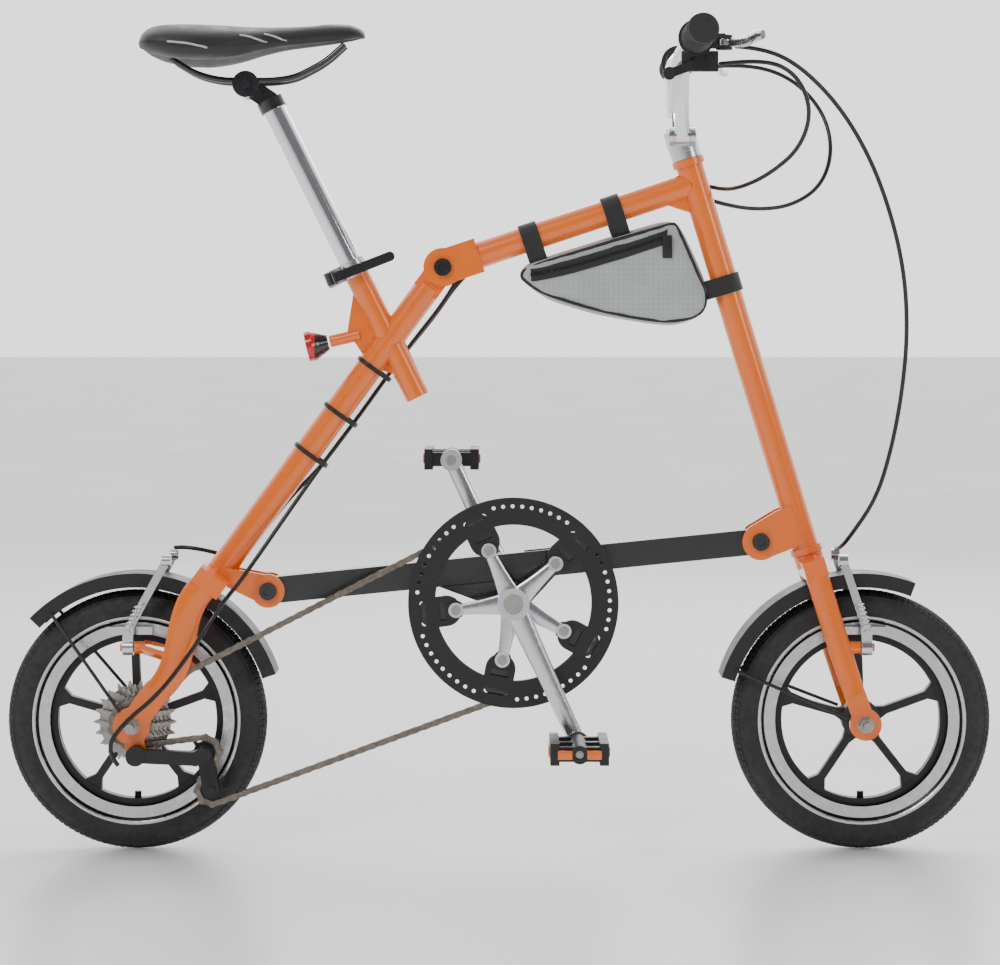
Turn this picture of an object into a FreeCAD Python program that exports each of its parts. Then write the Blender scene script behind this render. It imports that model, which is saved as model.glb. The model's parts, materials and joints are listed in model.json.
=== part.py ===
import FreeCAD, Part
import math
import os
import re
import Sketcher

# Folding bicycle. +X is forward, +Y is the rider's left and +Z is up.
# The origin is on the ground, midway between the two wheel axles.
# The drive side (chain, chainring and derailleur) is the right side, -Y.

Vector = FreeCAD.Vector
Placement = FreeCAD.Placement
Rotation = FreeCAD.Rotation
X_DIR, Y_DIR, Z_DIR = Vector(1, 0, 0), Vector(0, 1, 0), Vector(0, 0, 1)
RIGHT, LEFT = -1, 1

# ---------------------------------------------------------------- driving dimensions
SIZES = {
    # places in the side view, measured from the origin
    "wheelbase": 826, "axle_height": 148,
    "top_pivot_x": -64.3, "top_pivot_z": 664,
    "rear_pivot_x": -263.2, "rear_pivot_z": 295,
    "front_pivot_x": 298.1, "front_pivot_z": 351.2,
    "crank_x": 16, "crank_z": 285.7, "knee_reach": 359,
    "head_top_x": 217.8, "head_top_z": 780, "head_low_x": 350.2, "head_low_z": 345,
    "seat_tube_top_x": -169.5, "seat_tube_top_z": 669,
    "seat_tube_low_x": -92.8, "seat_tube_low_z": 515.5,
    # frame
    "main_tube_od": 31, "top_tube_od": 30, "head_tube_od": 31, "tube_wall": 1.8,
    "seat_tube_od": 28, "post_od": 25.4, "post_length": 330, "slide_gap": 0.05,
    "pivot_pin_od": 12, "pin_head_od": 20, "pin_head_height": 5, "running_gap": 0.05,
    "top_eye_od": 44, "rear_eye_od": 38, "front_eye_od": 42, "eye_width": 24,
    "cheek_thickness": 5, "cheek_gap": 0.4, "link_height": 30, "link_width": 20,
    "knee_cheek": 4.5, "knee_slot": 64, "knee_screw_od": 14,
    "shell_od": 40, "shell_width": 68, "shell_bore": 34, "gusset_thickness": 5,
    # wheels
    "tyre_od": 296, "tyre_width": 44, "tyre_casing": 4, "rim_od": 240, "rim_wall": 1.6,
    "rim_seat_od": 216, "rim_inner_od": 196.8, "band_width": 31, "flange_width": 37,
    "spoke_ring_od": 183.2, "spoke_width": 9, "spoke_depth": 14, "hub_od": 44,
    "axle_od": 10, "front_spacing": 100, "rear_spacing": 120, "axle_nut_od": 17,
    "dropout_thickness": 6, "fender_od": 336, "fender_width": 54, "fender_depth": 16,
    "fender_sheet": 1.5, "stay_od": 4,
    # drive train
    "chain_pitch": 12.7, "chainring_teeth": 48, "small_cog_teeth": 12, "cog_count": 6,
    "pulley_teeth": 8, "chain_line": 52, "cog_pitch": 5, "cog_thickness": 2, "link_plate": 1.3,
    "chain_height": 8, "guard_od": 237, "guard_thickness": 2.5, "bolt_circle": 130, "window_reach": 88,
    "crank_length": 170, "crank_offset": 66, "crank_thickness": 12, "spindle_od": 17,
    "pedal_length": 94, "pedal_width": 64, "pedal_height": 24, "pedal_axle_od": 9,
    "guide_x": -332, "guide_z": 117, "tension_x": -324, "tension_z": 75,
    # steering, controls and brakes
    "steerer_od": 25.4, "blade_width": 26, "blade_depth": 17, "fork_half_width": 44,
    "bar_od": 22.2, "bar_half_width": 290, "bar_height": 912, "grip_od": 32, "grip_length": 118,
    "arm_top_rise": 98, "front_arm_lean": 26, "rear_arm_lean": 43, "boss_od": 9,
    "brake_arm_width": 12, "pad_length": 50, "pad_gap": 1.5,
    "cable_od": 5,
    # seat
    "clamp_x": -262, "clamp_z": 866, "saddle_length": 258, "saddle_width": 172,
    "rail_od": 7, "lever_length": 72,
}

doc = FreeCAD.newDocument("folding_bicycle")
sheet = doc.addObject("Spreadsheet::Sheet", "Sizes")
for row, (alias, amount) in enumerate(SIZES.items(), start=1):
    sheet.set("A%d" % row, alias)
    sheet.set("B%d" % row, str(amount))
    sheet.setAlias("B%d" % row, alias)
doc.recompute()

NODES = []


def formula(text):
    """Turn words that name a size into references to the sheet."""
    return re.sub(r"[a-z_]+", lambda word: "Sizes." + word.group()
                  if word.group() in SIZES else word.group(), str(text))


def size(text):
    """The present value of a formula."""
    return float(sheet.evalExpression(formula(text)))


def at(x, y, z):
    """A point from three formulas or numbers."""
    return Vector(size(x), size(y), size(z))


def node(piece, label):
    """Name a finished sub-part, which is also the name of its file."""
    piece.Label = label
    NODES.append(piece)
    return piece


# ---------------------------------------------------------------- ways of making a piece
def rod(name, start, end, diameter):
    """A round bar from one point to another."""
    piece = doc.addObject("Part::Cylinder", name)
    piece.setExpression("Radius", formula("(%s) / 2" % diameter))
    piece.Height = (end - start).Length
    piece.Placement = Placement(start, Rotation(Z_DIR, end - start))
    return piece


def disc(name, centre, diameter, thickness, axis=Y_DIR):
    """A round plate or barrel, centred, with both its sizes bound to the sheet."""
    piece = doc.addObject("Part::Cylinder", name)
    piece.setExpression("Radius", formula("(%s) / 2" % diameter))
    piece.setExpression("Height", formula(thickness))
    piece.Placement = Placement(centre - axis * (size(thickness) / 2), Rotation(Z_DIR, axis))
    return piece


def block(name, centre, length, width, height, rotation=None):
    """A box centred on a point; its sizes along X, Y and Z are formulas."""
    piece = doc.addObject("Part::Box", name)
    piece.setExpression("Length", formula(length))
    piece.setExpression("Width", formula(width))
    piece.setExpression("Height", formula(height))
    turn = rotation or Rotation()
    corner = Vector(size(length), size(width), size(height)) * -0.5
    piece.Placement = Placement(centre + turn.multVec(corner), turn)
    return piece


def fuse(name, *pieces):
    piece = doc.addObject("Part::MultiFuse", name)
    piece.Shapes = list(pieces)
    return piece


def cut(name, base, *tools):
    piece = doc.addObject("Part::Cut", name)
    piece.Base = base
    piece.Tool = tools[0] if len(tools) == 1 else fuse(name + "_tools", *tools)
    return piece


def group(name, *pieces):
    """Separate solids of one kind kept together in one node."""
    piece = doc.addObject("Part::Compound", name)
    piece.Links = list(pieces)
    return piece


def tube(name, start, end, outer, bore):
    """A round tube; the bore runs past both ends."""
    run = (end - start).normalize() * 1.0
    return cut(name, rod(name + "_outer", start, end, outer),
               rod(name + "_bore", start - run, end + run, bore))


def draw(body, name, plane, corners):
    """A closed sketch whose corners are pairs of formulas, each held by two dimensions."""
    sketch = body.newObject("Sketcher::SketchObject", name)
    origin = [feature for feature in body.Origin.OriginFeatures if feature.Role == plane]
    sketch.AttachmentSupport = (origin[0], [""])
    sketch.MapMode = "FlatFace"
    points = [Vector(size(across), size(up), 0) for across, up in corners]
    count = len(points)
    for index in range(count):
        sketch.addGeometry(Part.LineSegment(points[index], points[(index + 1) % count]), False)
    for index in range(count):
        sketch.addConstraint(Sketcher.Constraint("Coincident", index, 2, (index + 1) % count, 1))
    for index, corner in enumerate(corners):
        for kind, text, here in zip(("DistanceX", "DistanceY"), corner, points[index]):
            held = sketch.addConstraint(Sketcher.Constraint(kind, -1, 1, index, 1, here))
            sketch.setExpression("Constraints[%d]" % held, formula(text))
    return sketch


def turned(name, outline, centre, axis=Y_DIR, sweep=360, start=0):
    """A body of revolution: the outline is pairs of (radius, place along the axis)."""
    body = doc.addObject("PartDesign::Body", name)
    profile = draw(body, name + "_profile", "XZ_Plane", outline)
    turn = body.newObject("PartDesign::Revolution", name + "_turn")
    turn.Profile = profile
    turn.ReferenceAxis = (profile, ["V_Axis"])
    turn.Angle = sweep
    body.Placement = Placement(centre, Rotation(Z_DIR, axis).multiply(Rotation(Z_DIR, start)))
    return body


# A flat piece is drawn with +X to the right and +Z up; its thickness runs towards -Y.
UPRIGHT = Rotation(X_DIR, 90)


def plate(name, outline, thickness, face_y):
    """A flat piece: its outline is pairs of (X, Z), and face_y is its left face."""
    body = doc.addObject("PartDesign::Body", name)
    profile = draw(body, name + "_profile", "XY_Plane", outline)
    pad = body.newObject("PartDesign::Pad", name + "_pad")
    pad.Profile = profile
    pad.setExpression("Length", formula(thickness))
    body.Placement = Placement(Vector(0, size(face_y), 0), UPRIGHT)
    return body


def bar(name, start, end, height, width):
    """A flat bar with round ends, upright, centred on the line between two points."""
    along = end - start
    turn = Rotation(X_DIR, along)
    middle = (start + end) * 0.5
    return fuse(name, block(name + "_web", middle, along.Length, width, height, turn),
                disc(name + "_start", start, height, width),
                disc(name + "_end", end, height, width))


def oval(centre, direction, across, high, wide):
    """A closed oval wire square to a direction; high lies along across."""
    side = direction.cross(across).normalize()
    up = side.cross(direction).normalize()
    ellipse = Part.Ellipse(Vector(0, 0, 0), max(high, wide) / 2, min(high, wide) / 2)
    long_way, short_way = (up, side) if high >= wide else (side, up)
    normal = long_way.cross(short_way)
    frame = FreeCAD.Matrix(long_way.x, short_way.x, normal.x, centre.x,
                           long_way.y, short_way.y, normal.y, centre.y,
                           long_way.z, short_way.z, normal.z, centre.z, 0, 0, 0, 1)
    wire = Part.Wire([ellipse.toShape()])
    wire.Placement = Placement(frame)
    return wire


def limb(name, stations, across=X_DIR):
    """A smooth limb through oval stations: (centre, size along across, size the other way)."""
    centres = [station[0] for station in stations]
    last = len(centres) - 1
    wires = []
    for index, (centre, high, wide) in enumerate(stations):
        direction = centres[min(index + 1, last)] - centres[max(index - 1, 0)]
        wires.append(oval(centre, direction.normalize(), across, high, wide))
    piece = doc.addObject("Part::Feature", name)
    piece.Shape = Part.makeLoft(wires, True)
    piece.Placement = Placement()
    return piece


def cord(name, points, diameter):
    """A round cord: straight runs joined by arcs as large as the runs allow."""
    edges, radii = [], []
    here = points[0]
    for before, corner, after in zip(points, points[1:], points[2:]):
        into, out = corner - before, after - corner
        half_turn = into.getAngle(out) / 2
        back = 0.45 * min(into.Length, out.Length)
        radii.append(back / math.tan(half_turn))
        into.normalize()
        out.normalize()
        start, end = corner - into * back, corner + out * back
        inward = (out - into).normalize()
        rise = radii[-1] * (1 / math.cos(half_turn) - 1)
        edges.append(Part.LineSegment(here, start).toShape())
        edges.append(Part.Arc(start, corner + inward * rise, end).toShape())
        here = end
    edges.append(Part.LineSegment(here, points[-1]).toShape())
    path = Part.Wire(edges)
    heading = (points[1] - points[0]).normalize()
    profile = Part.Wire([Part.Circle(points[0], heading, diameter / 2).toShape()])
    piece = doc.addObject("Part::Feature", name)
    piece.Shape = path.makePipeShell([profile], True, False)
    piece.Placement = Placement()
    expected = math.pi * diameter ** 2 / 4 * path.Length
    print("%s: length %.0f, volume ratio %.4f, radii %s"
          % (name, path.Length, piece.Shape.Volume / expected, [round(radius) for radius in radii]))
    return piece


# ---------------------------------------------------------------- places
REAR_AXLE = at("-wheelbase / 2", 0, "axle_height")
FRONT_AXLE = at("wheelbase / 2", 0, "axle_height")
TOP_PIVOT = at("top_pivot_x", 0, "top_pivot_z")
REAR_PIVOT = at("rear_pivot_x", 0, "rear_pivot_z")
FRONT_PIVOT = at("front_pivot_x", 0, "front_pivot_z")
CRANK = at("crank_x", 0, "crank_z")
HEAD_TOP = at("head_top_x", 0, "head_top_z")
HEAD_LOW = at("head_low_x", 0, "head_low_z")
DOWN_HEAD = (HEAD_LOW - HEAD_TOP).normalize()
ALONG_LINK = (FRONT_PIVOT - REAR_PIVOT).normalize()
KNEE = REAR_PIVOT + ALONG_LINK * size("knee_reach")
SEAT_TOP = at("seat_tube_top_x", 0, "seat_tube_top_z")
SEAT_LOW = at("seat_tube_low_x", 0, "seat_tube_low_z")
SEAT_LINE = (SEAT_TOP - SEAT_LOW).normalize()


def polar(centre, radius, degrees, y=0):
    """A point round a centre in the side view; 0 is forward and 90 is up."""
    angle = math.radians(degrees)
    return centre + Vector(radius * math.cos(angle), y, radius * math.sin(angle))


def off(point, y):
    return point + Vector(0, y, 0)


def along_x(axis_point, direction, x):
    """The point of a line in the side view that has the given X."""
    return axis_point + direction * ((x - axis_point.x) / direction.x)


# ---------------------------------------------------------------- frame
def pivot_pin(name, centre, reach):
    """A pin with a socket head at each end; reach is half the width of what it holds."""
    half = size(reach)
    head = size("pin_head_height")
    parts = [rod(name + "_shank", off(centre, -half), off(centre, half), "pivot_pin_od")]
    for side in (RIGHT, LEFT):
        parts.append(disc("%s_head_%d" % (name, side + 1), off(centre, side * (half + head / 2)),
                          "pin_head_od", "pin_head_height"))
    pin = fuse(name + "_solid", *parts)
    sockets = [disc("%s_socket_%d" % (name, side + 1), off(centre, side * (half + head)), 10, 5)
               for side in (RIGHT, LEFT)]
    return cut(name, pin, *sockets)


CHEEK_FACE = "eye_width / 2 + cheek_gap + cheek_thickness"


def cheeks(name, centre, diameter, bore):
    """Two round plates with a hole, one each side of an eye."""
    plates = []
    for side in (RIGHT, LEFT):
        y = side * size("eye_width / 2 + cheek_gap + cheek_thickness / 2")
        plates.append(cut("%s_%d" % (name, side + 1),
                          disc("%s_disc_%d" % (name, side + 1), off(centre, y), diameter,
                               "cheek_thickness"),
                          disc("%s_hole_%d" % (name, side + 1), off(centre, y), bore, 40)))
    return plates


PIN_BORE = "pivot_pin_od + running_gap * 2"
PIN_TIGHT = "pivot_pin_od"

# Rear main tube: it runs from the top pivot's eye down to the yoke over the rear wheel.
MAIN_LOW = at("rear_pivot_x - 66", 0, "rear_pivot_z + 8")
MAIN_LINE = (TOP_PIVOT - MAIN_LOW).normalize()
main_solid = fuse("main_tube_solid",
                  rod("main_tube_outer", MAIN_LOW, TOP_PIVOT - MAIN_LINE * 27, "main_tube_od"),
                  block("main_tube_neck", TOP_PIVOT - MAIN_LINE * 17, 34, "eye_width", "main_tube_od",
                        Rotation(X_DIR, MAIN_LINE)),
                  disc("main_tube_eye", TOP_PIVOT, "top_eye_od", "eye_width"))
main_tube = cut("main_tube_cut", main_solid,
                rod("main_tube_bore", MAIN_LOW - MAIN_LINE * 5, TOP_PIVOT - MAIN_LINE * 40,
                    "main_tube_od - tube_wall * 2"),
                disc("main_tube_pin_hole", TOP_PIVOT, PIN_TIGHT, "eye_width + 2"),
                rod("main_tube_seat_hole", SEAT_LOW, SEAT_TOP, "seat_tube_od"))
node(main_tube, "rear_main_tube")

# Yoke: a bridge across the tube's foot that carries both fork legs and the lower pivot's lugs.
YOKE = REAR_AXLE + (MAIN_LOW - REAR_AXLE).normalize() * size("fender_od / 2 + 15")
LEG_Y = {side: side * size("rear_spacing / 2 + dropout_thickness / 2") for side in (RIGHT, LEFT)}
YOKE_TURN = Rotation(X_DIR, MAIN_LINE)
yoke_block = block("yoke_block", YOKE, 20, "rear_spacing + 22", 36, YOKE_TURN)
lug_parts = cheeks("rear_lug", REAR_PIVOT, "rear_eye_od", PIN_TIGHT)
for side in (RIGHT, LEFT):
    lug_y = "%d * (eye_width / 2 + cheek_gap)" % side
    face = lug_y if side == RIGHT else lug_y + " + cheek_thickness"
    arm = plate("rear_lug_arm_%d" % (side + 1),
                [("rear_pivot_x", "rear_pivot_z + rear_eye_od / 2 - 1"),
                 ("rear_pivot_x - 54", "rear_pivot_z + 28"),
                 ("rear_pivot_x - 58", "rear_pivot_z + 10"),
                 ("rear_pivot_x", "rear_pivot_z - rear_eye_od / 2 + 1")],
                "cheek_thickness", face)
    hole = disc("rear_lug_arm_hole_%d" % (side + 1), REAR_PIVOT, PIN_TIGHT, 60)
    lug_parts.append(cut("rear_lug_arm_cut_%d" % (side + 1), arm, hole))
foot_hole = rod("yoke_tube_hole", MAIN_LOW, TOP_PIVOT, "main_tube_od")
node(cut("yoke_cut", fuse("yoke_solid", yoke_block, *lug_parts), foot_hole), "rear_fork_yoke")


def rear_leg(name, side):
    """A fork leg from the yoke to the dropout, with the brake's boss on a tab."""
    y = LEG_Y[side]
    top, middle = off(YOKE, y), off(REAR_AXLE + Vector(27, 0, 38), y)
    blade = limb(name + "_blade", [(top, 34, 16), (top - MAIN_LINE * 40, 33, 15),
                                   (middle + Vector(22, 0, 32), 33, 12), (middle, 30, 8)])
    drop = disc(name + "_dropout", off(REAR_AXLE, y), 42, "dropout_thickness")
    neck = bar(name + "_neck", off(REAR_AXLE, y), middle, 30, "dropout_thickness")
    tab_end = off(REAR_BOSS, side * size("fork_half_width"))
    tab = block(name + "_tab", (tab_end + middle + Vector(16, 0, 38)) * 0.5,
                (tab_end - middle - Vector(16, 0, 38)).Length, 6, 12,
                Rotation(X_DIR, tab_end - middle - Vector(16, 0, 38)))
    boss = fuse(name + "_bosses", rod(name + "_boss_root", tab_end + Vector(8, 0, 0),
                                      tab_end + Vector(-3, 0, 0), 14),
                rod(name + "_boss", tab_end + Vector(4, 0, 0), tab_end + Vector(-19, 0, 0), "boss_od"))
    hole = fuse(name + "_holes", disc(name + "_axle_hole", off(REAR_AXLE, y), "axle_od", 30),
                disc(name + "_hanger_hole", REAR_AXLE + Vector(6, LEG_Y[RIGHT], -32), 10, 30))
    return [blade, drop, neck, tab, boss], hole


REAR_BOSS = at("-wheelbase / 2 + 4", 0, "axle_height + 86")
for side, word in ((RIGHT, "right"), (LEFT, "left")):
    solids, hole = rear_leg("rear_leg_" + word, side)
    if side == RIGHT:
        hanger = bar("gear_hanger", off(REAR_AXLE, LEG_Y[side]),
                     off(REAR_AXLE + Vector(6, 0, -32), LEG_Y[side]), 22, "dropout_thickness")
        solids.append(hanger)
    leg = cut("rear_leg_cut_" + word, fuse("rear_leg_solid_" + word, *solids), hole,
              block("rear_leg_trim_" + word, YOKE + MAIN_LINE * 10, 40, "rear_spacing + 22", 36,
                    YOKE_TURN))
    node(leg, "rear_fork_" + word)

# Seat tube, with the gusset that joins it to the main tube and the rear lamp's stub.
SEAT_BORE = "post_od + slide_gap * 2"
gusset = plate("seat_gusset", [("seat_tube_top_x + 6", "seat_tube_top_z - 14"),
                               ("seat_tube_top_x - 4", "seat_tube_top_z - 78"),
                               ("seat_tube_top_x + 22", "seat_tube_top_z - 118"),
                               ("seat_tube_low_x + 8", "seat_tube_low_z + 14"),
                               ("seat_tube_low_x - 18", "seat_tube_low_z + 70")],
               "gusset_thickness", "gusset_thickness / 2")
lamp_stub = rod("lamp_stub", at("seat_tube_top_x + 10", 0, "seat_tube_top_z - 82"),
                at("seat_tube_top_x - 24", 0, "seat_tube_top_z - 90"), 14)
gusset_trim = cut("seat_gusset_cut", gusset,
                  rod("seat_tube_joint", MAIN_LOW, TOP_PIVOT, "main_tube_od"))
seat_solid = fuse("seat_tube_solid", rod("seat_tube_outer", SEAT_LOW, SEAT_TOP, "seat_tube_od"),
                  gusset_trim, lamp_stub)
seat_tube = cut("seat_tube_cut", seat_solid,
                rod("seat_tube_bore", SEAT_LOW - SEAT_LINE * 5, SEAT_TOP + SEAT_LINE * 5, SEAT_BORE))
node(seat_tube, "seat_tube")

# Front frame: top tube, head tube and the lugs of the front lower pivot.
TOP_TUBE_END = HEAD_TOP + DOWN_HEAD * 21
TOP_LINE = (TOP_TUBE_END - TOP_PIVOT).normalize()
head_bore = rod("head_joint", HEAD_TOP - DOWN_HEAD * 20, HEAD_LOW + DOWN_HEAD * 20, "head_tube_od")
top_barrel = rod("top_tube_run", TOP_PIVOT + TOP_LINE * 34, TOP_TUBE_END, "top_tube_od")
yoke_end = disc("top_yoke_round", TOP_PIVOT, "top_eye_od",
                "eye_width + cheek_gap * 2 + cheek_thickness * 2")
yoke_web = block("top_yoke_web", TOP_PIVOT + TOP_LINE * 22, 44, "eye_width + cheek_gap * 2 "
                 "+ cheek_thickness * 2", "top_eye_od - 4", Rotation(X_DIR, TOP_LINE))
eye_room = fuse("top_yoke_room", disc("top_yoke_gap", TOP_PIVOT, "top_eye_od + 6",
                                      "eye_width + cheek_gap * 2"),
                block("top_yoke_slot", TOP_PIVOT - TOP_LINE * 25, 50, "eye_width + cheek_gap * 2",
                      "top_eye_od + 6", Rotation(X_DIR, TOP_LINE)))
head_gusset = plate("head_gusset",
                    [("head_top_x - 48", "head_top_z - 38"), ("head_top_x + 4", "head_top_z - 8"),
                     ("head_top_x + 22", "head_top_z - 72"), ("head_top_x + 2", "head_top_z - 54")],
                    14, 7)
top_tube = cut("top_tube_cut", fuse("top_tube_solid", top_barrel, yoke_end, yoke_web, head_gusset),
               eye_room, head_bore, disc("top_yoke_hole", TOP_PIVOT, PIN_BORE, 60),
               rod("top_tube_bore", TOP_PIVOT + TOP_LINE * 48, TOP_TUBE_END, "top_tube_od - 5"))
node(top_tube, "top_tube")

head_solid = rod("head_tube_outer", HEAD_TOP, HEAD_LOW, "head_tube_od")
lugs = []
for side in (RIGHT, LEFT):
    face = "%d * (eye_width / 2 + cheek_gap)" % side
    if side == LEFT:
        face += " + cheek_thickness"
    arm = plate("front_lug_arm_%d" % (side + 1),
                [("front_pivot_x - 12", "front_pivot_z + front_eye_od / 2 - 4"),
                 ("front_pivot_x + 16", "front_pivot_z + 34"),
                 ("front_pivot_x + 34", "front_pivot_z + 42"),
                 ("front_pivot_x + 50", "front_pivot_z - 2"),
                 ("front_pivot_x + 12", "front_pivot_z - front_eye_od / 2 + 4")],
                "cheek_thickness", face)
    lugs.append(fuse("front_lug_%d" % (side + 1), arm,
                     disc("front_lug_disc_%d" % (side + 1),
                          off(FRONT_PIVOT, side * size("eye_width / 2 + cheek_gap "
                                                       "+ cheek_thickness / 2")),
                          "front_eye_od", "cheek_thickness")))
head_tube = cut("head_tube_cut", fuse("head_tube_solid", head_solid, *lugs),
                rod("head_tube_bore", HEAD_TOP - DOWN_HEAD * 9, HEAD_LOW + DOWN_HEAD * 9,
                    "head_tube_od - 3"),
                disc("front_lug_hole", FRONT_PIVOT, PIN_TIGHT, 60))

CUP_BORE = "steerer_od + running_gap * 2"
cups = []
for name, end, way in (("upper", HEAD_TOP, DOWN_HEAD), ("lower", HEAD_LOW, DOWN_HEAD * -1)):
    shell = fuse("cup_%s_solid" % name, rod("cup_%s_lip" % name, end - way * 8, end,
                                            "head_tube_od + 6"),
                 rod("cup_%s_insert" % name, end, end + way * 12, "head_tube_od - 3"))
    cups.append(cut("cup_" + name, shell, rod("cup_%s_bore" % name, end - way * 20,
                                              end + way * 30, CUP_BORE)))
node(group("head_tube_and_cups", head_tube, *cups), "head_tube")

# Lower bar: a rear link that carries the bottom bracket and a front link, hinged at the knee.
LINK_TURN = Rotation(X_DIR, ALONG_LINK)
SLOT_BACK = KNEE - ALONG_LINK * size("knee_slot")
rear_bar = bar("rear_link_bar", REAR_PIVOT, SLOT_BACK, "link_height", "eye_width")
knee_plates = []
for side in (RIGHT, LEFT):
    y = side * size("link_width / 2 + cheek_gap + knee_cheek / 2")
    knee_plates.append(bar("knee_cheek_%d" % (side + 1), off(SLOT_BACK - ALONG_LINK * 30, y),
                           off(KNEE, y), "link_height", "knee_cheek"))
slot = block("knee_slot_room", KNEE - ALONG_LINK * (size("knee_slot") / 2 - 30),
             "knee_slot + 60", "link_width + cheek_gap * 2", "link_height * 2", LINK_TURN)
rear_link_solid = fuse("rear_link_solid", rear_bar, *knee_plates)
shell_room = disc("shell_room", CRANK, "shell_od", "shell_width")
rear_link = cut("rear_link_cut", rear_link_solid, slot, shell_room,
                disc("rear_link_eye", REAR_PIVOT, PIN_BORE, 60),
                disc("knee_screw_holes", KNEE, 8, 60))
web_plates = []
for side in (RIGHT, LEFT):
    face = "%d * (link_width / 2 + cheek_gap)" % side
    if side == LEFT:
        face += " + gusset_thickness"
    web_plates.append(plate("bracket_web_%d" % (side + 1),
                            [("crank_x - 84", "crank_z + 14"), ("crank_x + 48", "crank_z + 27"),
                             ("crank_x + 14", "crank_z - 10"), ("crank_x - 14", "crank_z - 12")],
                            "gusset_thickness", face))
lower_bar_room = fuse("bracket_bar_room",
                      bar("bracket_bar_rear", REAR_PIVOT, SLOT_BACK, "link_height", 60),
                      bar("bracket_bar_front", SLOT_BACK, KNEE, "link_height", 60))
bracket = cut("bracket_cut",
              fuse("bracket_solid", cut("bracket_web", fuse("bracket_webs", *web_plates),
                                        lower_bar_room),
                   disc("bracket_shell", CRANK, "shell_od", "shell_width")),
              disc("bracket_bore", CRANK, "shell_bore", "shell_width + 4"))
cup_pair = []
for side in (RIGHT, LEFT):
    centre = off(CRANK, side * size("shell_width / 2 - 9"))
    flange = off(CRANK, side * size("shell_width / 2 + 1.5"))
    cup_pair.append(cut("bearing_cup_%d" % (side + 1),
                        fuse("bearing_cup_solid_%d" % (side + 1),
                             disc("bearing_cup_body_%d" % (side + 1), centre, "shell_bore", 18),
                             disc("bearing_cup_flange_%d" % (side + 1), flange, "shell_od + 2", 3)),
                        disc("bearing_cup_bore_%d" % (side + 1), centre,
                             "spindle_od + running_gap * 2", 60)))
node(group("bracket_and_cups", bracket, *cup_pair), "bottom_bracket")

front_link = cut("front_link_cut",
                 fuse("front_link_solid",
                      bar("front_link_bar", KNEE, FRONT_PIVOT, "link_height - 1", "link_width"),
                      disc("front_link_barrel", FRONT_PIVOT, "link_height - 1", "eye_width")),
                 disc("front_link_hole", FRONT_PIVOT, PIN_BORE, 60),
                 disc("front_link_dimple", KNEE, 8, 60))
node(front_link, "lower_bar_front")

screws = []
for side in (RIGHT, LEFT):
    inner = side * size("link_width / 2 + cheek_gap")
    outer = side * size("link_width / 2 + cheek_gap + knee_cheek")
    head = outer + side * 4
    screws.append(fuse("knee_screw_%d" % (side + 1),
                       rod("knee_screw_shank_%d" % (side + 1), off(KNEE, inner), off(KNEE, outer), 8),
                       rod("knee_screw_head_%d" % (side + 1), off(KNEE, outer), off(KNEE, head),
                           "knee_screw_od")))
node(group("rear_link_and_screws", rear_link, *screws), "lower_bar_rear")

node(group("rear_pins", pivot_pin("pin_top", TOP_PIVOT, CHEEK_FACE),
           pivot_pin("pin_rear", REAR_PIVOT, CHEEK_FACE)), "rear_pivot_pins")
node(pivot_pin("pin_front", FRONT_PIVOT, CHEEK_FACE), "front_pivot_pin")


# ---------------------------------------------------------------- wheels
def tyre(name, axle):
    """A tyre: a hollow ring, open on the inside where it sits on the rim."""
    rings = []
    for part, bore in (("outer", "0"), ("inner", "tyre_casing")):
        ring = doc.addObject("Part::Torus", "%s_%s" % (name, part))
        ring.setExpression("Radius1", formula("(tyre_od - tyre_width) / 2"))
        ring.setExpression("Radius2", formula("tyre_width / 2 - %s" % bore))
        ring.Placement = Placement(axle, Rotation(Z_DIR, Y_DIR))
        rings.append(ring)
    seat = disc(name + "_seat", axle, "rim_od", "tyre_width + 2")
    return cut(name + "_cut", rings[0], rings[1], seat)


def rim(name, axle):
    """A rim: a channel with a hooked flange each side and a machined brake band."""
    half, depth = "flange_width / 2", "band_width / 2"
    outline = [("rim_inner_od / 2", "-" + depth), ("rim_seat_od / 2 + 4", "-" + depth),
               ("rim_seat_od / 2 + 8", "-" + half), ("rim_od / 2", "-" + half),
               ("rim_od / 2", "rim_wall * 1.5 - " + half), ("rim_seat_od / 2 + 8",
                                                           "rim_wall * 1.5 - " + half),
               ("rim_seat_od / 2", "rim_wall - " + depth), ("rim_seat_od / 2", depth + " - rim_wall"),
               ("rim_seat_od / 2 + 8", half + " - rim_wall * 1.5"),
               ("rim_od / 2", half + " - rim_wall * 1.5"), ("rim_od / 2", half),
               ("rim_seat_od / 2 + 8", half), ("rim_seat_od / 2 + 4", depth),
               ("rim_inner_od / 2", depth)]
    body = turned(name + "_turned", outline, axle)
    valve_hole = rod(name + "_valve_hole", polar(axle, 80, 270), polar(axle, 118, 270), 8.5)
    return cut(name + "_cut", body, valve_hole)


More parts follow.
